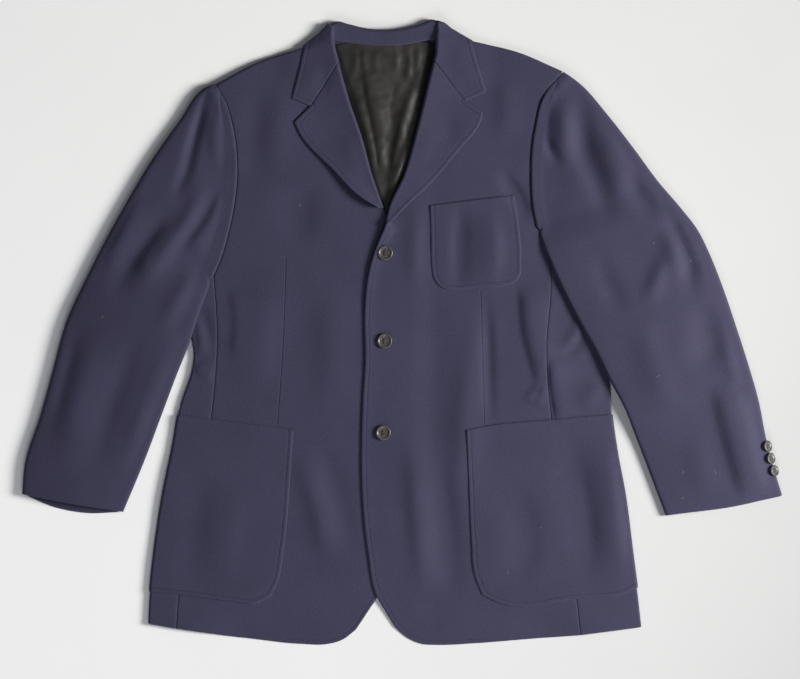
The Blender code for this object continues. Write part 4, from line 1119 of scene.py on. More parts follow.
# Columns: height, size, seed
SLEEVE_RUMPLES = [(0.9, 50.0, 11), (0.45, 20.0, 12)]
UNDER_SLEEVE_RUMPLES = [(0.5, 45.0, 14)]
# Columns: height, width on the line's left and right, the line going down
SLEEVE_SWELLS = {
    "right": [
        (-4.2, 8.0, 5.0, [(-251.0, 326.0), (-263.0, 282.0), (-274.0, 242.0), (-283.0, 207.0),
                          (-292.0, 184.0), (-293.0, 158.0)]),
        (-2.8, 11.0, 13.0, [(-296.0, 172.0), (-316.0, 142.0), (-350.0, 95.0), (-380.0, 38.0)]),
        (-1.8, 8.0, 10.0, [(-232.0, 196.0), (-251.0, 160.0), (-282.0, 116.0), (-300.0, 92.0)]),
        (2.6, 9.0, 10.0, [(-256.0, 214.0), (-271.0, 160.0), (-303.0, 110.0), (-350.0, 44.0)]),
        (2.0, 15.0, 17.0, [(-330.0, 190.0), (-363.0, 142.0), (-396.0, 80.0)]),
        (2.4, 12.0, 20.0, [(-276.0, 20.0), (-318.0, -86.0), (-376.0, -215.0)]),
        (-2.0, 14.0, 16.0, [(-330.0, 20.0), (-366.0, -60.0), (-410.0, -200.0)]),
        (2.0, 18.0, 20.0, [(-385.0, 30.0), (-414.0, -60.0), (-446.0, -190.0)]),
        (-1.5, 12.0, 12.0, [(-420.0, 20.0), (-440.0, -60.0), (-462.0, -150.0)]),
        (1.7, 9.0, 12.0, [(-262.0, 100.0), (-286.0, 50.0), (-322.0, -6.0)]),
        (-1.4, 8.0, 9.0, [(-254.0, 60.0), (-276.0, 20.0), (-300.0, -10.0)]),
        (1.6, 10.0, 8.0, [(-238.0, 300.0), (-243.0, 250.0), (-240.0, 205.0)]),
    ],
    "left": [
        (-3.2, 13.0, 12.0, [(226.0, 322.0), (234.0, 270.0), (239.0, 228.0), (257.0, 186.0),
                            (274.0, 132.0)]),
        (2.2, 12.0, 14.0, [(206.0, 310.0), (210.0, 262.0), (214.0, 214.0)]),
        (-1.6, 7.0, 8.0, [(180.0, 262.0), (196.0, 232.0), (212.0, 212.0)]),
        (1.8, 18.0, 14.0, [(258.0, 268.0), (276.0, 220.0), (290.0, 170.0)]),
        (-1.9, 13.0, 12.0, [(296.0, 218.0), (303.0, 188.0), (321.0, 158.0), (336.0, 138.0)]),
        (-2.8, 12.0, 8.0, [(336.0, 172.0), (357.0, 134.0), (370.0, 106.0), (374.0, 72.0),
                           (377.0, 34.0)]),
        (2.4, 8.0, 12.0, [(330.0, 132.0), (349.0, 114.0), (356.0, 92.0), (354.0, 60.0)]),
        (1.8, 10.0, 10.0, [(346.0, 112.0), (332.0, 72.0), (316.0, 28.0)]),
        (-2.0, 18.0, 20.0, [(386.0, 50.0), (398.0, -10.0), (390.0, -70.0)]),
        (1.6, 18.0, 22.0, [(300.0, 40.0), (322.0, -30.0), (352.0, -120.0)]),
        (-1.2, 12.0, 12.0, [(250.0, 110.0), (268.0, 60.0), (290.0, 10.0)]),
        (1.3, 14.0, 12.0, [(416.0, 20.0), (430.0, -40.0), (442.0, -100.0)]),
        (-1.2, 9.0, 12.0, [(424.0, -64.0), (446.0, -82.0), (458.0, -92.0)]),
        (0.8, 16.0, 18.0, [(380.0, -120.0), (388.0, -170.0), (392.0, -225.0)]),
    ],
}
# Columns: height, width, the line going down
SLEEVE_CREASES = {
    "right": [
        (1.6, 9.0, [(-236.0, 190.0), (-256.0, 150.0), (-290.0, 106.0)]),
        (1.2, 8.0, [(-300.0, 150.0), (-330.0, 112.0), (-352.0, 70.0)]),
    ],
    "left": [
        (3.2, 22.0, [(398.0, -62.0), (405.0, -98.0), (415.0, -138.0), (427.0, -180.0),
                     (441.0, -228.0)]),
        (1.6, 10.0, [(352.0, 140.0), (364.0, 116.0), (369.0, 84.0)]),
    ],
}


def sleeve_lift(hand, x, y):
    """How far the sleeve is raised where it lies over the body's side."""
    edge = join(UNDERARMS[hand], SIDE_FOLDS[hand])
    away = from_lines(x, y, [edge])
    edge_x = np.interp(-y, -edge[:, 1], edge[:, 0])
    away = np.where(np.abs(x) > np.abs(edge_x), away, -away)
    begin, whole, fade, gone = SLEEVE_LIFT[hand]
    near = ease((SLEEVE_LIFT_MARGIN + SLEEVE_LIFT_RAMP - away) / SLEEVE_LIFT_RAMP)
    along = ease((begin - y) / (begin - whole)) * ease((y - gone) / (fade - gone))
    return SLEEVE_OVER_BODY * near * along


def sleeve_plan(hand, cuff):
    """The sleeve's outline filled in plan, with the share of the way down its armhole rows."""
    inner = join(ARMHOLES[hand], SLEEVE_INNERS[hand])
    outer = curve(SLEEVE_OUTERS[hand])
    grid = panel(curve(ARMHOLE_TOPS[hand]), curve(cuff), outer, inner, SLEEVE_STEP)
    down = shares((outer, inner), SLEEVE_STEP)
    return trim(grid, "top", SEAM_GAP / 4), down


def sleeve_sections(down):
    """Radius of the inner and of the outer fold, and the crown, that far down the sleeve."""
    return [np.interp(down, SLEEVE_SECTIONS[:, 0], column) for column in SLEEVE_SECTIONS.T[1:]]


def across_rows(grid):
    """How far each point is along its row, from 0 at the first column to 1 at the last."""
    run = np.linalg.norm(np.diff(grid, axis=1), axis=2).cumsum(1)
    return np.hstack([np.zeros((len(run), 1)), run / run[:, -1:]])


def add_top_sleeve(hand):
    grid, down = sleeve_plan(hand, CUFFS[hand])
    inner_radii, outer_radii, crown = sleeve_sections(down)
    armhole_seam = join(ARMHOLE_TOPS[hand], ARMHOLES[hand])
    armhole_end = ARMHOLES[hand][-1][1]
    turned = ease((armhole_end - grid[:, -1, 1]) / ARMHOLE_TO_FOLD)
    seam_gap = SEAM_GAP / 4 + (WALL / 2 - SEAM_GAP / 4) * turned
    reach = np.max([strip[0] for strip in fold_strips(inner_radii, turned, FOLD_LIP)], axis=0)
    seam = trim(grid, "inner", SEAM_GAP / 4)[:, -1]
    grid = trim(grid, "outer", outer_radii + WALL / 2)
    grid = trim(grid, "inner", reach + seam_gap)
    x, y = grid[..., 0], grid[..., 1]
    fold_height = BACK_HEIGHT + sleeve_lift(hand, x, y)[:, -1] + 2 * inner_radii
    seam_height = front_heights[hand](seam[:, 0], seam[:, 1]) + SLEEVE_SEAM_STEP
    start, ramp = ARMHOLE_TO_LIFT
    to_fold = ease((armhole_end + start - seam[:, 1]) / ramp)
    inner_height = seam_height + (fold_height - seam_height) * to_fold
    outer_height = BACK_HEIGHT + 2 * outer_radii
    across = across_rows(grid)
    z = outer_height[:, None] * (1 - ease(across)) + inner_height[:, None] * ease(across)
    z += crown[:, None] * np.sin(math.pi * across) ** CROWN_POWER
    folds = swells(x, y, SLEEVE_SWELLS[hand]) + creases(x, y, SLEEVE_CREASES[hand])
    folds *= SLEEVE_FOLD_DEPTH[hand]
    folds += rumples(x, y, SLEEVE_RUMPLES)
    folds = soft_floor(folds, DEEPEST_SLEEVE_FOLD)
    from_outer, from_inner = SLEEVE_FOLD_EASE
    z += folds * ease(np.minimum(across * from_outer, (1 - across) * from_inner))
    rise, place, spread = SLEEVE_HEAD
    off_seam = from_lines(x, y, [armhole_seam])
    z += rise * np.exp(-(((off_seam - place) / spread) ** 2)) * (1 - to_fold)[:, None]
    grid = curl(raised(grid, z), "outer", outer_radii)
    grid = curl(grid, "inner", inner_radii, turned, seam=seam)
    add_cloth(
        f"top_sleeve_{hand}", grid, wool_finish, plain=[curve(CUFFS[hand])],
        seams=[armhole_seam], grain=SLEEVE_GRAIN[hand],
    )


def add_under_sleeve(hand):
    grid, down = sleeve_plan(hand, UNDER_CUFFS[hand])
    inner_radii, outer_radii, _ = sleeve_sections(down)
    armhole_end = ARMHOLES[hand][-1][1]
    at_seam = grid[:, -1, 1] > armhole_end
    grid = trim(grid, "outer", outer_radii + PAST_FOLD)
    grid = trim(grid, "inner", np.where(at_seam, SEAM_GAP / 2, inner_radii + PAST_FOLD))
    x, y = grid[..., 0], grid[..., 1]
    start, ramp = UNDER_SLEEVE_TO_LIFT
    height = BACK_HEIGHT + sleeve_lift(hand, x, y) * ease((armhole_end + start - y) / ramp)
    height = height + rumples(x, y, UNDER_SLEEVE_RUMPLES) + UNDER_SLEEVE_RISE
    add_cloth(
        f"under_sleeve_{hand}", raised(grid, height), wool_finish,
        plain=[curve(UNDER_CUFFS[hand])], seams=[join(ARMHOLE_TOPS[hand], ARMHOLES[hand])],
        grain=SLEEVE_GRAIN[hand],
    )


for hand in ("right", "left"):
    add_top_sleeve(hand)
    add_under_sleeve(hand)


# The lapels and the collar
# Notch lapels rolled back from the front edge, joined to the collar's fall by the gorge
# seam. One fold runs up the roll, round the neck's corner and behind the shoulder.
GORGE_GAP = 0.3
LAPEL_ROLLS = {
    "right": [
        (-81.9, 352.0), (-69.0, 304.2), (-53.2, 258.4), (-39.3, 206.7), (-23.2, 160.0),
    ],
    "left": [
        (40.3, 354.0), (32.5, 322.1), (20.5, 272.4), (0.7, 202.8), (-17.3, 163.0),
        (-21.0, 146.0), (-21.9, 137.0),
    ],
}
GORGES = {
    "right": [(-81.9, 352.0), (-118.8, 294.3)],
    "left": [(40.3, 354.0), (81.9, 300.3)],
}
LAPEL_NOTCHES = {
    "right": [(-118.8, 294.3), (-139.8, 273.4)],
    "left": [(81.9, 300.3), (105.0, 285.4)],
}
LAPEL_EDGES = {
    "right": [
        (-139.8, 273.4), (-132.7, 258.4), (-88.9, 210.7), (-55.1, 176.9), (-32.0, 162.5),
    ],
    "left": [
        (105.0, 285.4), (102.0, 274.3), (70.2, 232.7), (36.4, 192.8), (8.6, 166.9),
        (-10.0, 148.0), (-18.2, 139.6),
    ],
}
FALL_EDGES = {
    "right": [(-126.0, 375.5), (-132.5, 345.0), (-143.0, 304.2)],
    "left": [(88.5, 381.8), (97.5, 350.0), (109.1, 313.2)],
}
FALL_FRONTS = {
    "right": [(-143.0, 304.2), (-118.8, 294.3)],
    "left": [(109.1, 313.2), (81.9, 300.3)],
}
# The collar's fold from the gorge up. Columns: x, y, height of the fold's top, height of
# what it folds down to.
COLLAR_FOLDS = {
    "right": [
        (-81.9, 352.0, 14.9, 7.5), (-84.3, 361.0, 14.9, 7.5), (-87.0, 373.0, 14.6, 7.4),
        (-88.6, 388.0, 13.8, 7.0), (-89.2, 396.5, 13.0, 5.5), (-90.4, 403.4, 12.4, 4.0),
        (-96.0, 400.4, 11.0, 2.2), (-105.0, 392.4, 10.6, 1.0), (-116.0, 383.5, 10.2, 1.0),
        (-126.0, 375.5, 9.8, 1.0),
    ],
    "left": [
        (40.3, 354.0, 14.9, 7.5), (42.6, 363.5, 14.9, 7.5), (43.4, 375.0, 14.6, 7.4),
        (44.0, 388.0, 13.8, 7.0), (44.6, 398.5, 13.0, 5.5), (45.6, 406.0, 12.4, 4.0),
        (51.0, 404.6, 11.0, 2.2), (61.5, 398.0, 10.6, 1.0), (74.8, 389.8, 10.2, 1.0),
        (88.5, 381.8, 9.8, 1.0),
    ],
}
NECK_SIDE_POINTS = 6
COLLAR_STEP = 2.4
COLLAR_LIP = 1.0
TURN_WIDTH = 62.0
# Past the shoulder the collar rests this high, and comes down to it over the ramp.
# Columns: how far past the shoulder's line it is down, ramp.
PAST_SHOULDER_REST = 3.0
PAST_SHOULDER_RAMP = (14.0, 22.0)
# How far the lapel's free edge stands off its front. Columns: share of the way from the
# notch to the V, height.
LAPEL_EDGE_LIFT = {
    "right": np.array([(0.0, 0.8), (0.35, 2.0), (0.8, 8.0), (1.0, 7.0)]),
    "left": np.array([(0.0, 0.4), (0.4, 0.6), (0.8, 1.2), (0.92, 0.8), (1.0, 0.0)]),
}
# Columns: height, size, seed
TURNED_RUMPLES = [(0.4, 26.0, 31)]
# Columns: height, width on the line's left and right, the line going down
TURNED_SWELLS = [
    (1.2, 12.0, 16.0, [(-104.0, 352.0), (-118.0, 322.0), (-122.0, 300.0)]),
    (-1.4, 10.0, 12.0, [(-98.0, 350.0), (-104.0, 320.0), (-102.0, 300.0)]),
    (1.2, 14.0, 12.0, [(-70.0, 260.0), (-64.0, 225.0), (-52.0, 195.0)]),
    (1.1, 12.0, 14.0, [(66.0, 372.0), (80.0, 345.0), (90.0, 320.0)]),
    (-1.2, 12.0, 12.0, [(58.0, 290.0), (62.0, 262.0), (56.0, 236.0)]),
    (1.1, 12.0, 12.0, [(36.0, 270.0), (30.0, 240.0), (18.0, 214.0)]),
]


def fold_line(hand):
    """The whole fold from the V up, with the height of its top as a third column."""
    roll = curve(LAPEL_ROLLS[hand])[::-1]
    top = front_heights[hand](roll[:, 0], roll[:, 1]) + 2 * roll_radii(roll[:, 1])
    collar = curve(COLLAR_FOLDS[hand][:NECK_SIDE_POINTS])[1:, :3]
    return np.vstack([np.column_stack([roll, top]), collar])


def turned_height(hand, x, y):
    """The turned-back cloth: high at its fold, and resting on the front further out."""
    fold = fold_line(hand)
    shape = x.shape
    away, _, share = nearest(np.column_stack([x.ravel(), y.ravel()]), fold)
    run = lengths(fold[:, :2])
    top = np.interp(share, run / run[-1], fold[:, 2]).reshape(shape)
    away = away.reshape(shape)
    shoulder = curve(SHOULDERS[hand])
    order = np.argsort(shoulder[:, 0])
    past = y - np.interp(x, shoulder[order, 0], shoulder[order, 1])
    on_front = front_heights[hand](x, y) + WALL + SEAM_GAP
    down, ramp = PAST_SHOULDER_RAMP
    rest = PAST_SHOULDER_REST + (on_front - PAST_SHOULDER_REST) * ease((down - past) / ramp)
    folds = swells(x, y, TURNED_SWELLS) + rumples(x, y, TURNED_RUMPLES)
    return rest + (top - rest) * np.clip(1 - away / TURN_WIDTH, 0, 1) ** 2 + folds


def add_lapel(hand):
    roll, edge = curve(LAPEL_ROLLS[hand]), curve(LAPEL_EDGES[hand])
    gorge, notch = curve(GORGES[hand]), curve(LAPEL_NOTCHES[hand])
    top = np.vstack([gorge, notch[1:]])
    grid = panel(top, np.array([roll[-1], edge[-1]]), roll, edge, COLLAR_STEP)
    radii = roll_radii(grid[:, 0, 1])
    grid = trim(trim(grid, "outer", radii + WALL / 2), "top", GORGE_GAP / 2)
    x, y = grid[..., 0], grid[..., 1]
    down = np.linspace(0, 1, len(grid))
    lift = np.interp(down, *LAPEL_EDGE_LIFT[hand].T)[:, None] * across_rows(grid) ** 2
    z = turned_height(hand, x, y) + lift
    radii = (z[:, 0] - front_heights[hand](x[:, 0], y[:, 0])) / 2
    add_cloth(
        f"lapel_{hand}", curl(raised(grid, z), "outer", radii), wool_finish,
        stitched=[edge, notch], seams=[gorge],
    )


def add_collar_fall(hand):
    fold, gorge = curve(COLLAR_FOLDS[hand])[::-1], curve(GORGES[hand])
    fall_edge, fall_front = curve(FALL_EDGES[hand]), curve(FALL_FRONTS[hand])
    grid = panel(fall_edge, gorge, fold[:, :2], fall_front, COLLAR_STEP)
    run = lengths(fold[:, :2])
    at = shares((fold[:, :2], fall_front), COLLAR_STEP) * run[-1]
    top = turned_height(hand, *at_lengths(fold, run, at)[:, :2].T)
    radii = (top - np.interp(at, run, fold[:, 3])) / 2
    grid = trim(grid, "outer", radii + WALL / 2)
    grid = trim(grid[::-1], "top", GORGE_GAP / 2)[::-1]
    z = turned_height(hand, grid[..., 0], grid[..., 1])
    grid = curl(raised(grid, z), "outer", radii, lip=COLLAR_LIP)
    add_cloth(
        f"collar_fall_{hand}", grid, wool_finish, stitched=[fall_edge, fall_front],
        seams=[gorge],
    )


for hand in ("right", "left"):
    add_lapel(hand)
    add_collar_fall(hand)


# The satin lining in the neck
# Dark olive-grey satin, loose over the back inside the V of the neck. A pleat runs down
# one side, a slack roll catches the light on the other, and gathers hang from the stand.
LINING_WALL = 1.0
LINING_OVER_BACK = 2.1
LINING_STEP = 1.8
# Columns: height, size, seed
LINING_RUMPLES = [(0.75, 15.0, 21), (0.5, 5.5, 22)]
LINING_TOP = [(-102.0, 372.0), (-51.0, 378.0), (-21.0, 376.8), (8.0, 378.5), (58.0, 374.0)]
LINING_BOTTOM = [(-38.0, 130.0), (-4.0, 130.0)]
LINING_SIDES = {
    "right": [(-102.0, 372.0), (-84.0, 304.0), (-54.0, 206.0), (-38.0, 130.0)],
    "left": [(58.0, 374.0), (35.0, 272.0), (14.0, 203.0), (-4.0, 130.0)],
}
# Painted shade in the hollow by each roll, where hardly any light reaches. Columns: y, width.
HOLLOWS = {
    "right": np.array([(150.0, 2.5), (230.0, 7.5), (308.0, 13.0), (350.0, 9.0), (378.0, 3.0)]),
    "left": np.array([(150.0, 1.2), (230.0, 3.0), (300.0, 7.0), (350.0, 12.0), (390.0, 13.0)]),
}
# How the painted shade fades, as shares of its width: where it begins to, and over what
HOLLOW_EASE = (0.45, 0.6)
SATIN_COLOUR = (0.014, 0.0136, 0.012, 1.0)
SATIN_PALE = (0.026, 0.025, 0.022, 1.0)
SATIN_HOLLOW_SHADE = (0.003, 0.003, 0.003, 1.0)
# Scales the satin's noise, so that its drag lines are drawn out down the piece
SATIN_DRAWN = (1.0, 0.08, 1.0)
# Columns: height, width on the line's left and right, the line going down
LINING_SWELLS = [
    (3.2, 8.5, 5.0, [(30.0, 360.0), (16.0, 318.0), (4.0, 283.0), (-7.0, 236.0), (-18.0, 165.0)]),
    (3.6, 7.0, 6.0, [(14.0, 262.0), (2.0, 228.0), (-9.0, 195.0), (-17.0, 162.0)]),
    (-1.4, 6.0, 7.0, [(12.0, 352.0), (-9.0, 285.0), (-18.0, 230.0), (-22.0, 190.0)]),
    (2.0, 5.0, 7.0, [(-66.0, 340.0), (-54.0, 296.0), (-39.0, 237.0), (-24.0, 172.0)]),
    (1.5, 3.5, 5.0, [(-62.0, 374.0), (-60.0, 352.0), (-64.0, 330.0)]),
    (1.3, 4.0, 3.0, [(-50.0, 374.0), (-50.0, 350.0), (-45.0, 334.0)]),
    (1.0, 5.0, 3.0, [(-33.0, 374.0), (-35.0, 356.0), (-38.0, 340.0)]),
    (1.2, 3.0, 5.0, [(-8.0, 374.0), (-6.0, 356.0), (-10.0, 330.0)]),
    (1.6, 4.0, 3.5, [(8.0, 376.0), (10.0, 352.0), (4.0, 320.0)]),
    (1.3, 3.0, 4.0, [(22.0, 378.0), (20.0, 350.0), (16.0, 335.0)]),
]
# Columns: height, width, the line going down
LINING_CREASES = [
    (2.6, 7.0, [(-54.0, 356.0), (-50.0, 322.0), (-38.0, 262.0), (-28.0, 196.0)]),
    (1.2, 7.0, [(-6.0, 330.0), (-14.0, 290.0), (-12.0, 262.0)]),
    (1.0, 6.0, [(-20.0, 250.0), (-30.0, 236.0), (-33.0, 215.0)]),
]


def satin():
    """Glossy woven satin with fine drag lines down it."""
    cloth = Finish("satin")
    where = cloth.add("ShaderNodeUVMap", {"uv_map": "pattern"}, {}).outputs[0]
    drawn = cloth.add("ShaderNodeMapping", {}, {"Vector": where, "Scale": SATIN_DRAWN})
    drag = cloth.noise(drawn.outputs[0], 700.0, 3.0)
    cloud = cloth.noise(where, 35.0, 4.0)
    colour = cloth.mix(drag * 0.6 + cloud * 0.4, SATIN_COLOUR, SATIN_PALE)
    # Painted shade: the satin darkens in the hollow beside each roll
    hollow_shade = cloth.attribute("hollow_shade")
    colour = cloth.mix(hollow_shade, colour, SATIN_HOLLOW_SHADE)
    height = drag * 0.00003 + cloud * 0.0005
    return cloth.shade(
        Base_Color=colour, Roughness=0.42 + cloud * 0.16 + hollow_shade * 0.4,
        Normal=cloth.bump(height), Specular_IOR_Level=0.36, Anisotropic=0.4,
    )


satin_finish = satin()
grid = panel(
    curve(LINING_TOP), curve(LINING_BOTTOM), curve(LINING_SIDES["right"]),
    curve(LINING_SIDES["left"]), LINING_STEP,
)
x, y = grid[..., 0], grid[..., 1]
slack = swells(x, y, LINING_SWELLS) + creases(x, y, LINING_CREASES)
slack += rumples(x, y, LINING_RUMPLES)
height = back_height(x, y) + LINING_OVER_BACK + slack
lining = add_cloth(
    "back_lining", raised(grid, height), satin_finish, LINING_WALL,
)
# Where the satin's painted shade lies, beside the fold of each roll
hollow_shade = np.zeros_like(x)
start, ramp = HOLLOW_EASE
for hand, widths in HOLLOWS.items():
    away = from_lines(x, y, [fold_line(hand)[:, :2]])
    width = np.interp(y, *widths.T)
    hollow_shade = np.maximum(hollow_shade, 1 - ease((away - start * width) / (ramp * width)))
write_layer(lining.data, "hollow_shade", hollow_shade)


# The collar stand
# The band inside the back neck, sewn to the lining at its foot and folded over at its top
# into the fall behind the neck.
STAND_SEAM = [
    (-97.0, 381.0), (-80.0, 378.6), (-51.0, 375.0), (-21.0, 373.8), (8.0, 375.5),
    (35.0, 380.6), (52.0, 383.0),
]
STAND_TOP = [
    (-97.0, 397.0), (-91.0, 402.4), (-85.0, 404.6), (-70.0, 401.3), (-45.0, 395.5),
    (-21.3, 394.2), (0.0, 395.8), (25.0, 402.0), (40.0, 407.2), (46.0, 405.0), (52.0, 400.0),
]
STAND_SEAM_HEIGHT = 6.65
STAND_TOP_HEIGHT = 8.5
STAND_END_RISE = 1.6
STAND_STEP = 2.0
# Columns: height, size, seed
STAND_RUMPLES = [(0.35, 15.0, 41)]

top, bottom = curve(STAND_TOP), curve(STAND_SEAM)
ends = np.array([top[0], bottom[0]]), np.array([top[-1], bottom[-1]])
grid = panel(top, bottom, *ends, STAND_STEP)
across = 2 * shares((top, bottom), STAND_STEP) - 1
top_height = STAND_TOP_HEIGHT + STAND_END_RISE * across**4
radii = (top_height - BACK_HEIGHT) / 2
grid = trim(grid, "top", radii + WALL / 2)
down = shares(ends, STAND_STEP)[:, None]
seam_height = STAND_SEAM_HEIGHT + STAND_END_RISE * across**4 / 2
z = top_height * (1 - down) + seam_height * down
z = z + rumples(grid[..., 0], grid[..., 1], STAND_RUMPLES)
add_cloth(
    "collar_stand", curl(raised(grid, z), "top", radii), wool_finish, plain=[bottom],
)


# The buttons
# Dark mottled horn, turned with a dished middle and a raised rim, pierced with four holes
# and sewn on with two bars of navy thread. They stay as the CAD places them.
BUTTON_RADII = {"front": 10.0, "cuff": 7.5}
BUTTONS_OF_A_KIND = 3
BUTTON_STEPS = 48
MERGE_DISTANCE = 0.00001
# The turned profile. Columns: radius, height, each as a share of the button's radius.
BUTTON_PROFILE = [
    (0.0, 0.215), (0.30, 0.215), (0.52, 0.205), (0.66, 0.215), (0.72, 0.26), (0.77, 0.305),
    (0.84, 0.325), (0.91, 0.315), (0.97, 0.27), (1.0, 0.21), (1.0, 0.13), (0.97, 0.07),
    (0.86, 0.015), (0.70, 0.0), (0.0, 0.0),
]
# The holes, and the ends of what cuts them, as shares of the button's radius
HOLE_OFF = 0.2
HOLE_RADIUS = 0.105
HOLE_ENDS = (-0.1, 0.5)
HOLE_SIDES = 14
HORN_DARK = (0.010, 0.010, 0.012, 1.0)
HORN_PALE = (0.110, 0.104, 0.095, 1.0)


def horn():
    """Polished dark horn, with paler clouds and fine streaks."""
    material = Finish("dark_horn")
    where = material.add("ShaderNodeTexCoord", {}, {}).outputs["Object"]
    cloud = material.noise(where, 190.0, 5.0, 0.65)
    streak = material.add("ShaderNodeMapping", {}, {"Vector": where, "Scale": (1.0, 9.0, 1.0)})
    streaks = material.noise(streak.outputs[0], 160.0, 4.0)
    colour = material.mix(cloud * 0.7 + streaks * 0.5 - 0.15, HORN_DARK, HORN_PALE)
    return material.shade(
        Base_Color=colour, Roughness=0.26 + streaks * 0.16,
        Normal=material.bump(cloud * 0.00003), Specular_IOR_Level=0.45, Coat_Weight=0.08,
    )


def button_blank(radius):
    """The turned button without holes, its underside centred on the origin."""
    points = [(r * radius * MM, 0.0, z * radius * MM) for r, z in BUTTON_PROFILE]
    mesh = bpy.data.meshes.new("button")
    mesh.from_pydata(points, [(k, k + 1) for k in range(len(points) - 1)], [])
    blank = add_object("button", mesh)
    screw = blank.modifiers.new("Turn", "SCREW")
    screw.steps = screw.render_steps = BUTTON_STEPS
    screw.use_merge_vertices = True
    screw.merge_threshold = MERGE_DISTANCE
    screw.use_smooth_shade = True
    return blank


def hole_cutter(radius):
    """Four upright prisms, one for each hole."""
    points, faces = [], []
    for right, up in ((1, 1), (-1, 1), (-1, -1), (1, -1)):
        x, y = right * HOLE_OFF, up * HOLE_OFF
        start = len(points)
        for z in HOLE_ENDS:
            for turn in np.linspace(0, 2 * math.pi, HOLE_SIDES, endpoint=False):
                hole_x = x + math.cos(turn) * HOLE_RADIUS
                hole_y = y + math.sin(turn) * HOLE_RADIUS
                points.append(tuple(v * radius * MM for v in (hole_x, hole_y, z)))
        ring = list(range(start, start + HOLE_SIDES))
        upper = [k + HOLE_SIDES for k in ring]
        faces += [ring[::-1], upper]
        for k in range(HOLE_SIDES):
            after = (k + 1) % HOLE_SIDES
            faces.append([ring[k], ring[after], upper[after], upper[k]])
    mesh = bpy.data.meshes.new("holes")
    mesh.from_pydata(points, [], faces)
    return add_object("holes", mesh)


def evaluated_mesh(source, name):
    """The object's mesh with its modifiers applied."""
    bpy.context.view_layer.update()
    graph = bpy.context.evaluated_depsgraph_get()
    mesh = bpy.data.meshes.new_from_object(source.evaluated_get(graph))
    mesh.name = name
    return mesh


def button_seat(node):
    """Where the CAD's button lies: the middle of its underside, turned to its own plane."""
    low, high = (np.array(corner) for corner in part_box(node))
    points = np.array([v.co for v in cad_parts[node].data.vertices])
    middle = (low + high) / 2
    _, _, ways = np.linalg.svd(points - points.mean(0), full_matrices=False)
    axis = Vector(ways[2] * np.sign(ways[2][2]))
    across = Vector((0, 1, 0)).cross(axis).normalized()
    turn = Matrix((across, axis.cross(across), axis)).transposed().to_4x4()
    lowest = min((Vector(point - middle)).dot(axis) for point in points)
    return Matrix.Translation(Vector(middle) + axis * lowest) @ turn


horn_finish = horn()
buttons = {}
for kind, radius in BUTTON_RADII.items():
    blank, cutter = button_blank(radius), hole_cutter(radius)
    cut = blank.modifiers.new("Holes", "BOOLEAN")
    cut.object = cutter
    cut.operation = "DIFFERENCE"
    cut.solver = "EXACT"
    pierced = evaluated_mesh(blank, f"{kind}_button")
    for used in (blank, cutter):
        bpy.data.objects.remove(used)
    for number in range(1, BUTTONS_OF_A_KIND + 1):
        node = f"{kind}_button_{number}"
        mesh = pierced.copy()
        seat = button_seat(node)
        mesh.transform(seat)
        mesh.materials.clear()
        mesh.materials.append(horn_finish)
        piece = add_object(f"{node}_horn", mesh)
        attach(piece, "root")
        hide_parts(node)
        buttons[node] = (seat, radius)


# The topstitching
# Navy thread sewn through the folded edges 5 mm in: the fronts, lapels, collar and pockets.
STITCH_PITCH = 3.0
STITCH_SIZE = (2.2, 0.5, 0.36)
# How much a stitch differs from that size, along, across and up
STITCH_LEAST = (0.82, 0.9, 0.9)
STITCH_MOST = (1.1, 1.1, 1.1)
STITCH_SEED = 4
STITCH_SIDES = 8
STITCH_RINGS = 5
PATH_STEP = 1.5
# A path point nearer an edge than this share of the inset is past a corner.
CORNER_SHARE = 0.97
EYE_HEIGHT = 100.0
LEAST_LEVEL = 0.5
THREAD_COLOUR = (0.034, 0.031, 0.062, 1.0)
# Columns: piece, edges in the order that they are sewn, a point inside the piece
SEWN_EDGES = [
    ("patch_pocket_right", [POCKETS["right"]["inner"], POCKETS["right"]["bottom"][::-1]],
     (-220.0, -230.0)),
    ("patch_pocket_left", [POCKETS["left"]["inner"], POCKETS["left"]["bottom"][::-1]],
     (190.0, -230.0)),
    ("chest_pocket", [CHEST_POCKET["left"], CHEST_POCKET["bottom"], CHEST_POCKET["right"][::-1]],
     (95.0, 120.0)),
    ("lapel_right", [LAPEL_NOTCHES["right"], LAPEL_EDGES["right"]], (-80.0, 260.0)),
    ("lapel_left", [LAPEL_NOTCHES["left"], LAPEL_EDGES["left"]], (45.0, 260.0)),
    ("collar_fall_right", [FALL_EDGES["right"], FALL_FRONTS["right"]], (-110.0, 345.0)),
    ("collar_fall_left", [FALL_EDGES["left"], FALL_FRONTS["left"]], (75.0, 345.0)),
    ("front_right", [FRONT_EDGES["right"], HEMS["right"][:1:-1]], (-100.0, -300.0)),
    ("front_left", [FRONT_EDGES["left"], HEMS["left"][:1:-1]], (100.0, -300.0)),
]


def surface(node):
    """Gives a function for the height at which thread lies on the piece, seen from above."""
    mesh = bpy.data.objects[f"{node}_cloth"].data
    tree = BVHTree.FromPolygons(
        [v.co for v in mesh.vertices], [tuple(p.vertices) for p in mesh.polygons]
    )

    def height(x, y):
        place, normal, _, _ = tree.ray_cast(Vector((x, y, EYE_HEIGHT)) * MM, Vector((0, 0, -1)))
        if place is None:
            return None
        return place.z / MM + WALL / 2 / max(abs(normal.z), LEAST_LEVEL)

    return height


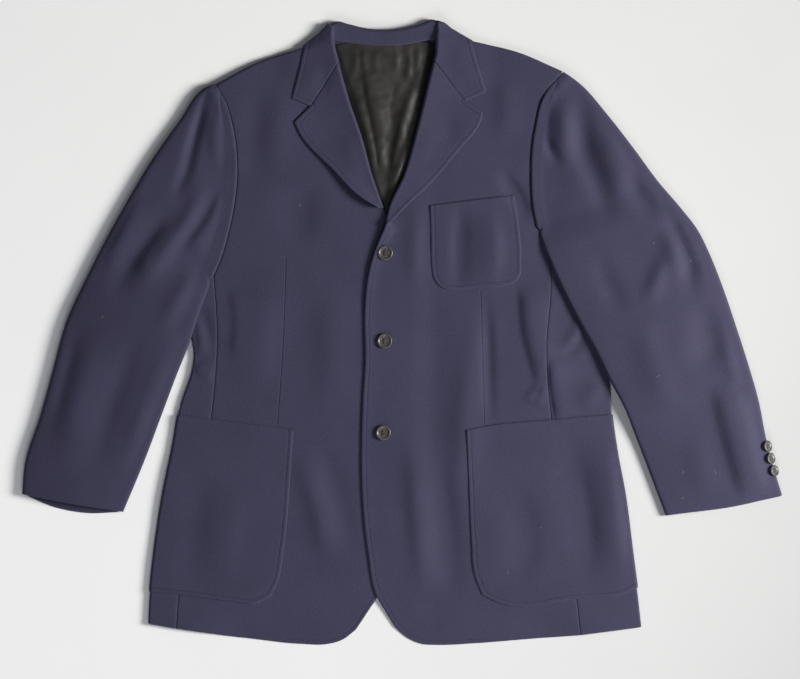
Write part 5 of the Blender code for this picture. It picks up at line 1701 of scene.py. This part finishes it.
def inset(edges, inside):
    """The path of the needle: every point is as far inside the nearest edge."""
    edges, path = [curve(edge) for edge in edges], []
    for edge in edges:
        even = stations(edge, np.linspace(0, 1, max(3, int(lengths(edge)[-1] / PATH_STEP))))
        along = unit(np.gradient(even, axis=0))
        square = np.column_stack([-along[:, 1], along[:, 0]])
        side = np.sign(((np.array(inside) - even) * square).sum())
        path.append(even + square * side * STITCH_INSET)
    path = np.vstack(path)
    return path[from_lines(path[:, 0], path[:, 1], edges) > CORNER_SHARE * STITCH_INSET]


def thread():
    """Navy sewing thread with a slight gloss."""
    return Finish("navy_thread").shade(
        Base_Color=THREAD_COLOUR, Roughness=0.45, Specular_IOR_Level=0.4
    )


def stitch_nodes():
    """Lays a stitch at every pitch along a path."""
    tree = bpy.data.node_groups.new("stitches", "GeometryNodeTree")
    sockets = [
        ("Path", "NodeSocketGeometry"), ("Pitch", "NodeSocketFloat"),
        ("Size", "NodeSocketVector"), ("Seed", "NodeSocketInt"),
        ("Thread", "NodeSocketMaterial"),
    ]
    for name, kind in sockets:
        tree.interface.new_socket(name=name, in_out="INPUT", socket_type=kind)
    tree.interface.new_socket(name="Sewn", in_out="OUTPUT", socket_type="NodeSocketGeometry")
    wiring = Wiring(tree)
    given = wiring.add("NodeGroupInput", {}, {}).outputs
    path = wiring.add("GeometryNodeMeshToCurve", {}, {"Mesh": given["Path"]})
    even = wiring.add(
        "GeometryNodeResampleCurve", {"mode": "LENGTH"},
        {"Curve": path.outputs[0], "Length": given["Pitch"]},
    )
    tangent = wiring.add("GeometryNodeInputTangent", {}, {})
    turned = wiring.add(
        "FunctionNodeAlignRotationToVector", {"axis": "X", "pivot_axis": "AUTO"},
        {"Vector": tangent.outputs[0]},
    )
    ball = wiring.add(
        "GeometryNodeMeshUVSphere", {},
        {"Segments": STITCH_SIDES, "Rings": STITCH_RINGS, "Radius": 0.5},
    )
    stitch = wiring.add(
        "GeometryNodeTransform", {}, {"Geometry": ball.outputs["Mesh"], "Scale": given["Size"]}
    )
    uneven = wiring.add(
        "FunctionNodeRandomValue", {"data_type": "FLOAT_VECTOR"},
        {"Min": STITCH_LEAST, "Max": STITCH_MOST, "Seed": given["Seed"]},
    )
    laid = wiring.add(
        "GeometryNodeInstanceOnPoints", {},
        {"Points": even.outputs[0], "Instance": stitch.outputs[0],
         "Rotation": turned.outputs[0], "Scale": uneven.outputs[0]},
    )
    real = wiring.add("GeometryNodeRealizeInstances", {}, {"Geometry": laid.outputs[0]})
    sewn = wiring.add(
        "GeometryNodeSetMaterial", {},
        {"Geometry": real.outputs[0], "Material": given["Thread"]},
    )
    wiring.add("NodeGroupOutput", {}, {"Sewn": sewn.outputs[0]})
    return tree


thread_finish = thread()
points, edges = [], []
for node, sewn_edges, inside in SEWN_EDGES:
    height = surface(node)
    last = None
    for x, y in inset(sewn_edges, inside):
        z = height(x, y)
        if z is None:
            last = None
            continue
        points.append((x * MM, y * MM, z * MM))
        if last is not None:
            edges.append((last, len(points) - 1))
        last = len(points) - 1
path_mesh = bpy.data.meshes.new("stitch_paths")
path_mesh.from_pydata(points, edges, [])
topstitching = add_object("topstitching", path_mesh)
sewing = topstitching.modifiers.new("Stitches", "NODES")
sewing.node_group = stitch_nodes()
given_values = {
    "Pitch": STITCH_PITCH * MM, "Size": [side * MM for side in STITCH_SIZE],
    "Seed": STITCH_SEED, "Thread": thread_finish,
}
for socket in sewing.node_group.interface.items_tree:
    if socket.name in given_values:
        sewing[socket.identifier] = given_values[socket.name]
sewn_mesh = evaluated_mesh(topstitching, "topstitching")
topstitching.modifiers.clear()
topstitching.data = sewn_mesh
sewn_mesh.shade_smooth()
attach(topstitching, "root")


# The buttonholes and the button thread
# A buttonhole is a slit bound all round with thread; the slit is a near-black cord, painted
# shade in the cut. The button thread crosses each button in two bars, from hole to hole.
BUTTONHOLES = [(-20.6, 102.2), (-21.4, -12.4), (-23.0, -131.8)]
BUTTONHOLE_HALF = (11.2, 1.35)
BINDING_RADIUS = 0.62
BINDING_POINTS = 48
BINDING_RISE = 0.1
SLIT_HALF = 10.6
SLIT_RADIUS = 0.55
SLIT_POINTS = 14
SLIT_DEPTH = 0.1
# The bars of the button thread, as shares of the button's radius. Columns of the path:
# along the bar, height.
BAR_RADIUS = 0.075
BAR_PATH = [(-0.21, 0.1), (-0.2, 0.23), (-0.1, 0.29), (0.1, 0.29), (0.2, 0.23), (0.21, 0.1)]
CORD_SIDES = 8
# Near-black, as painted shade in the slit's cut
SLIT_SHADE_COLOUR = (0.004, 0.004, 0.006, 1.0)


def cord(points, radii, up=(0, 0, 1), closed=False):
    """A round cord along the points: its points and faces."""
    points = np.array(points, float)
    if closed:
        along = unit(np.roll(points, -1, 0) - np.roll(points, 1, 0))
    else:
        along = unit(np.gradient(points, axis=0))
    aside = unit(np.cross(along, up))
    above = np.cross(aside, along)
    turns = np.linspace(0, 2 * math.pi, CORD_SIDES, endpoint=False)[None, :, None]
    around = np.cos(turns) * aside[:, None] + np.sin(turns) * above[:, None]
    rings = points[:, None] + np.broadcast_to(radii, len(points))[:, None, None] * around
    count, faces = len(points), []
    for k in range(count if closed else count - 1):
        for side in range(CORD_SIDES):
            after = (side + 1) % CORD_SIDES
            near, far = k * CORD_SIDES, (k + 1) % count * CORD_SIDES
            faces.append((near + side, near + after, far + after, far + side))
    if not closed:
        last_ring = (count - 1) * CORD_SIDES
        faces += [tuple(range(CORD_SIDES)), tuple(range(last_ring, last_ring + CORD_SIDES))]
    return rings.reshape(-1, 3), faces


def add_cords(name, cords, finish):
    """Cords as one object, every face turned outward."""
    points, faces = [], []
    for cord_points, cord_faces in cords:
        faces += [tuple(k + len(points) for k in face) for face in cord_faces]
        points += (cord_points * MM).tolist()
    mesh = bpy.data.meshes.new(name)
    mesh.from_pydata(points, [], faces)
    shell = bmesh.new()
    shell.from_mesh(mesh)
    bmesh.ops.recalc_face_normals(shell, faces=shell.faces)
    shell.to_mesh(mesh)
    shell.free()
    mesh.shade_smooth()
    mesh.materials.append(finish)
    piece = add_object(name, mesh)
    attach(piece, "root")


front_top = surface("front_left")
half_length, half_width = BUTTONHOLE_HALF
bindings, slits = [], []
for x, y in BUTTONHOLES:
    ring = []
    for turn in np.linspace(0, 2 * math.pi, BINDING_POINTS, endpoint=False):
        aside = math.copysign(half_length - half_width, math.cos(turn))
        place = x + aside + half_width * math.cos(turn), y + half_width * math.sin(turn)
        ring.append((*place, front_top(*place) + BINDING_RISE))
    bindings.append(cord(ring, BINDING_RADIUS, closed=True))
    along = x + np.linspace(-SLIT_HALF, SLIT_HALF, SLIT_POINTS)
    slits.append(cord([(at, y, front_top(at, y) - SLIT_DEPTH) for at in along], SLIT_RADIUS))
add_cords("buttonhole_binding", bindings, thread_finish)
add_cords(
    "buttonhole_slit_shade", slits, Finish("slit").shade(Base_Color=SLIT_SHADE_COLOUR, Roughness=0.9),
)
bars = []
for seat, radius in buttons.values():
    for side in (-HOLE_OFF, HOLE_OFF):
        line = []
        for along, up in BAR_PATH:
            place = Vector((along, side, up)) * radius * MM
            line.append(tuple((seat @ place) / MM))
        bars.append(cord(line, BAR_RADIUS * radius, up=tuple(seat.col[1].xyz)))
add_cords("button_thread", bars, thread_finish)


# The lint
# A few pale threads, 3 to 5 mm long, have settled on the sleeves, a front and a pocket.
LINT = [
    ("top_sleeve_right", -388.7, 19.5), ("front_right", -132.6, 165.1),
    ("top_sleeve_left", 326.3, 115.7), ("top_sleeve_left", 374.4, 92.3),
    ("top_sleeve_left", 331.5, -57.2), ("top_sleeve_left", 365.3, -182.0),
    ("top_sleeve_left", 406.9, -182.0), ("top_sleeve_left", 365.3, -215.8),
    ("patch_pocket_left", 180.7, -254.8), ("patch_pocket_left", 137.8, -313.3),
]
LINT_SEED = 8
LINT_LENGTHS = (3, 5)
LINT_BEND = 1.2
LINT_POINTS = 9
LINT_RADIUS = 0.1
LINT_COLOUR = (0.36, 0.35, 0.36, 1.0)

chance = np.random.default_rng(LINT_SEED)
strands = []
for node, x, y in LINT:
    heading = chance.uniform(0, math.pi)
    bend = chance.uniform(-LINT_BEND, LINT_BEND)
    long = chance.uniform(*LINT_LENGTHS)
    height = surface(node)
    strand = []
    for step in np.linspace(-0.5, 0.5, LINT_POINTS):
        turned = heading + bend * step
        place = x + math.cos(turned) * step * long, y + math.sin(turned) * step * long
        strand.append((*place, height(*place) + LINT_RADIUS))
    strands.append(cord(strand, LINT_RADIUS))
add_cords(
    "lint", strands, Finish("lint").shade(Base_Color=LINT_COLOUR, Roughness=0.9)
)
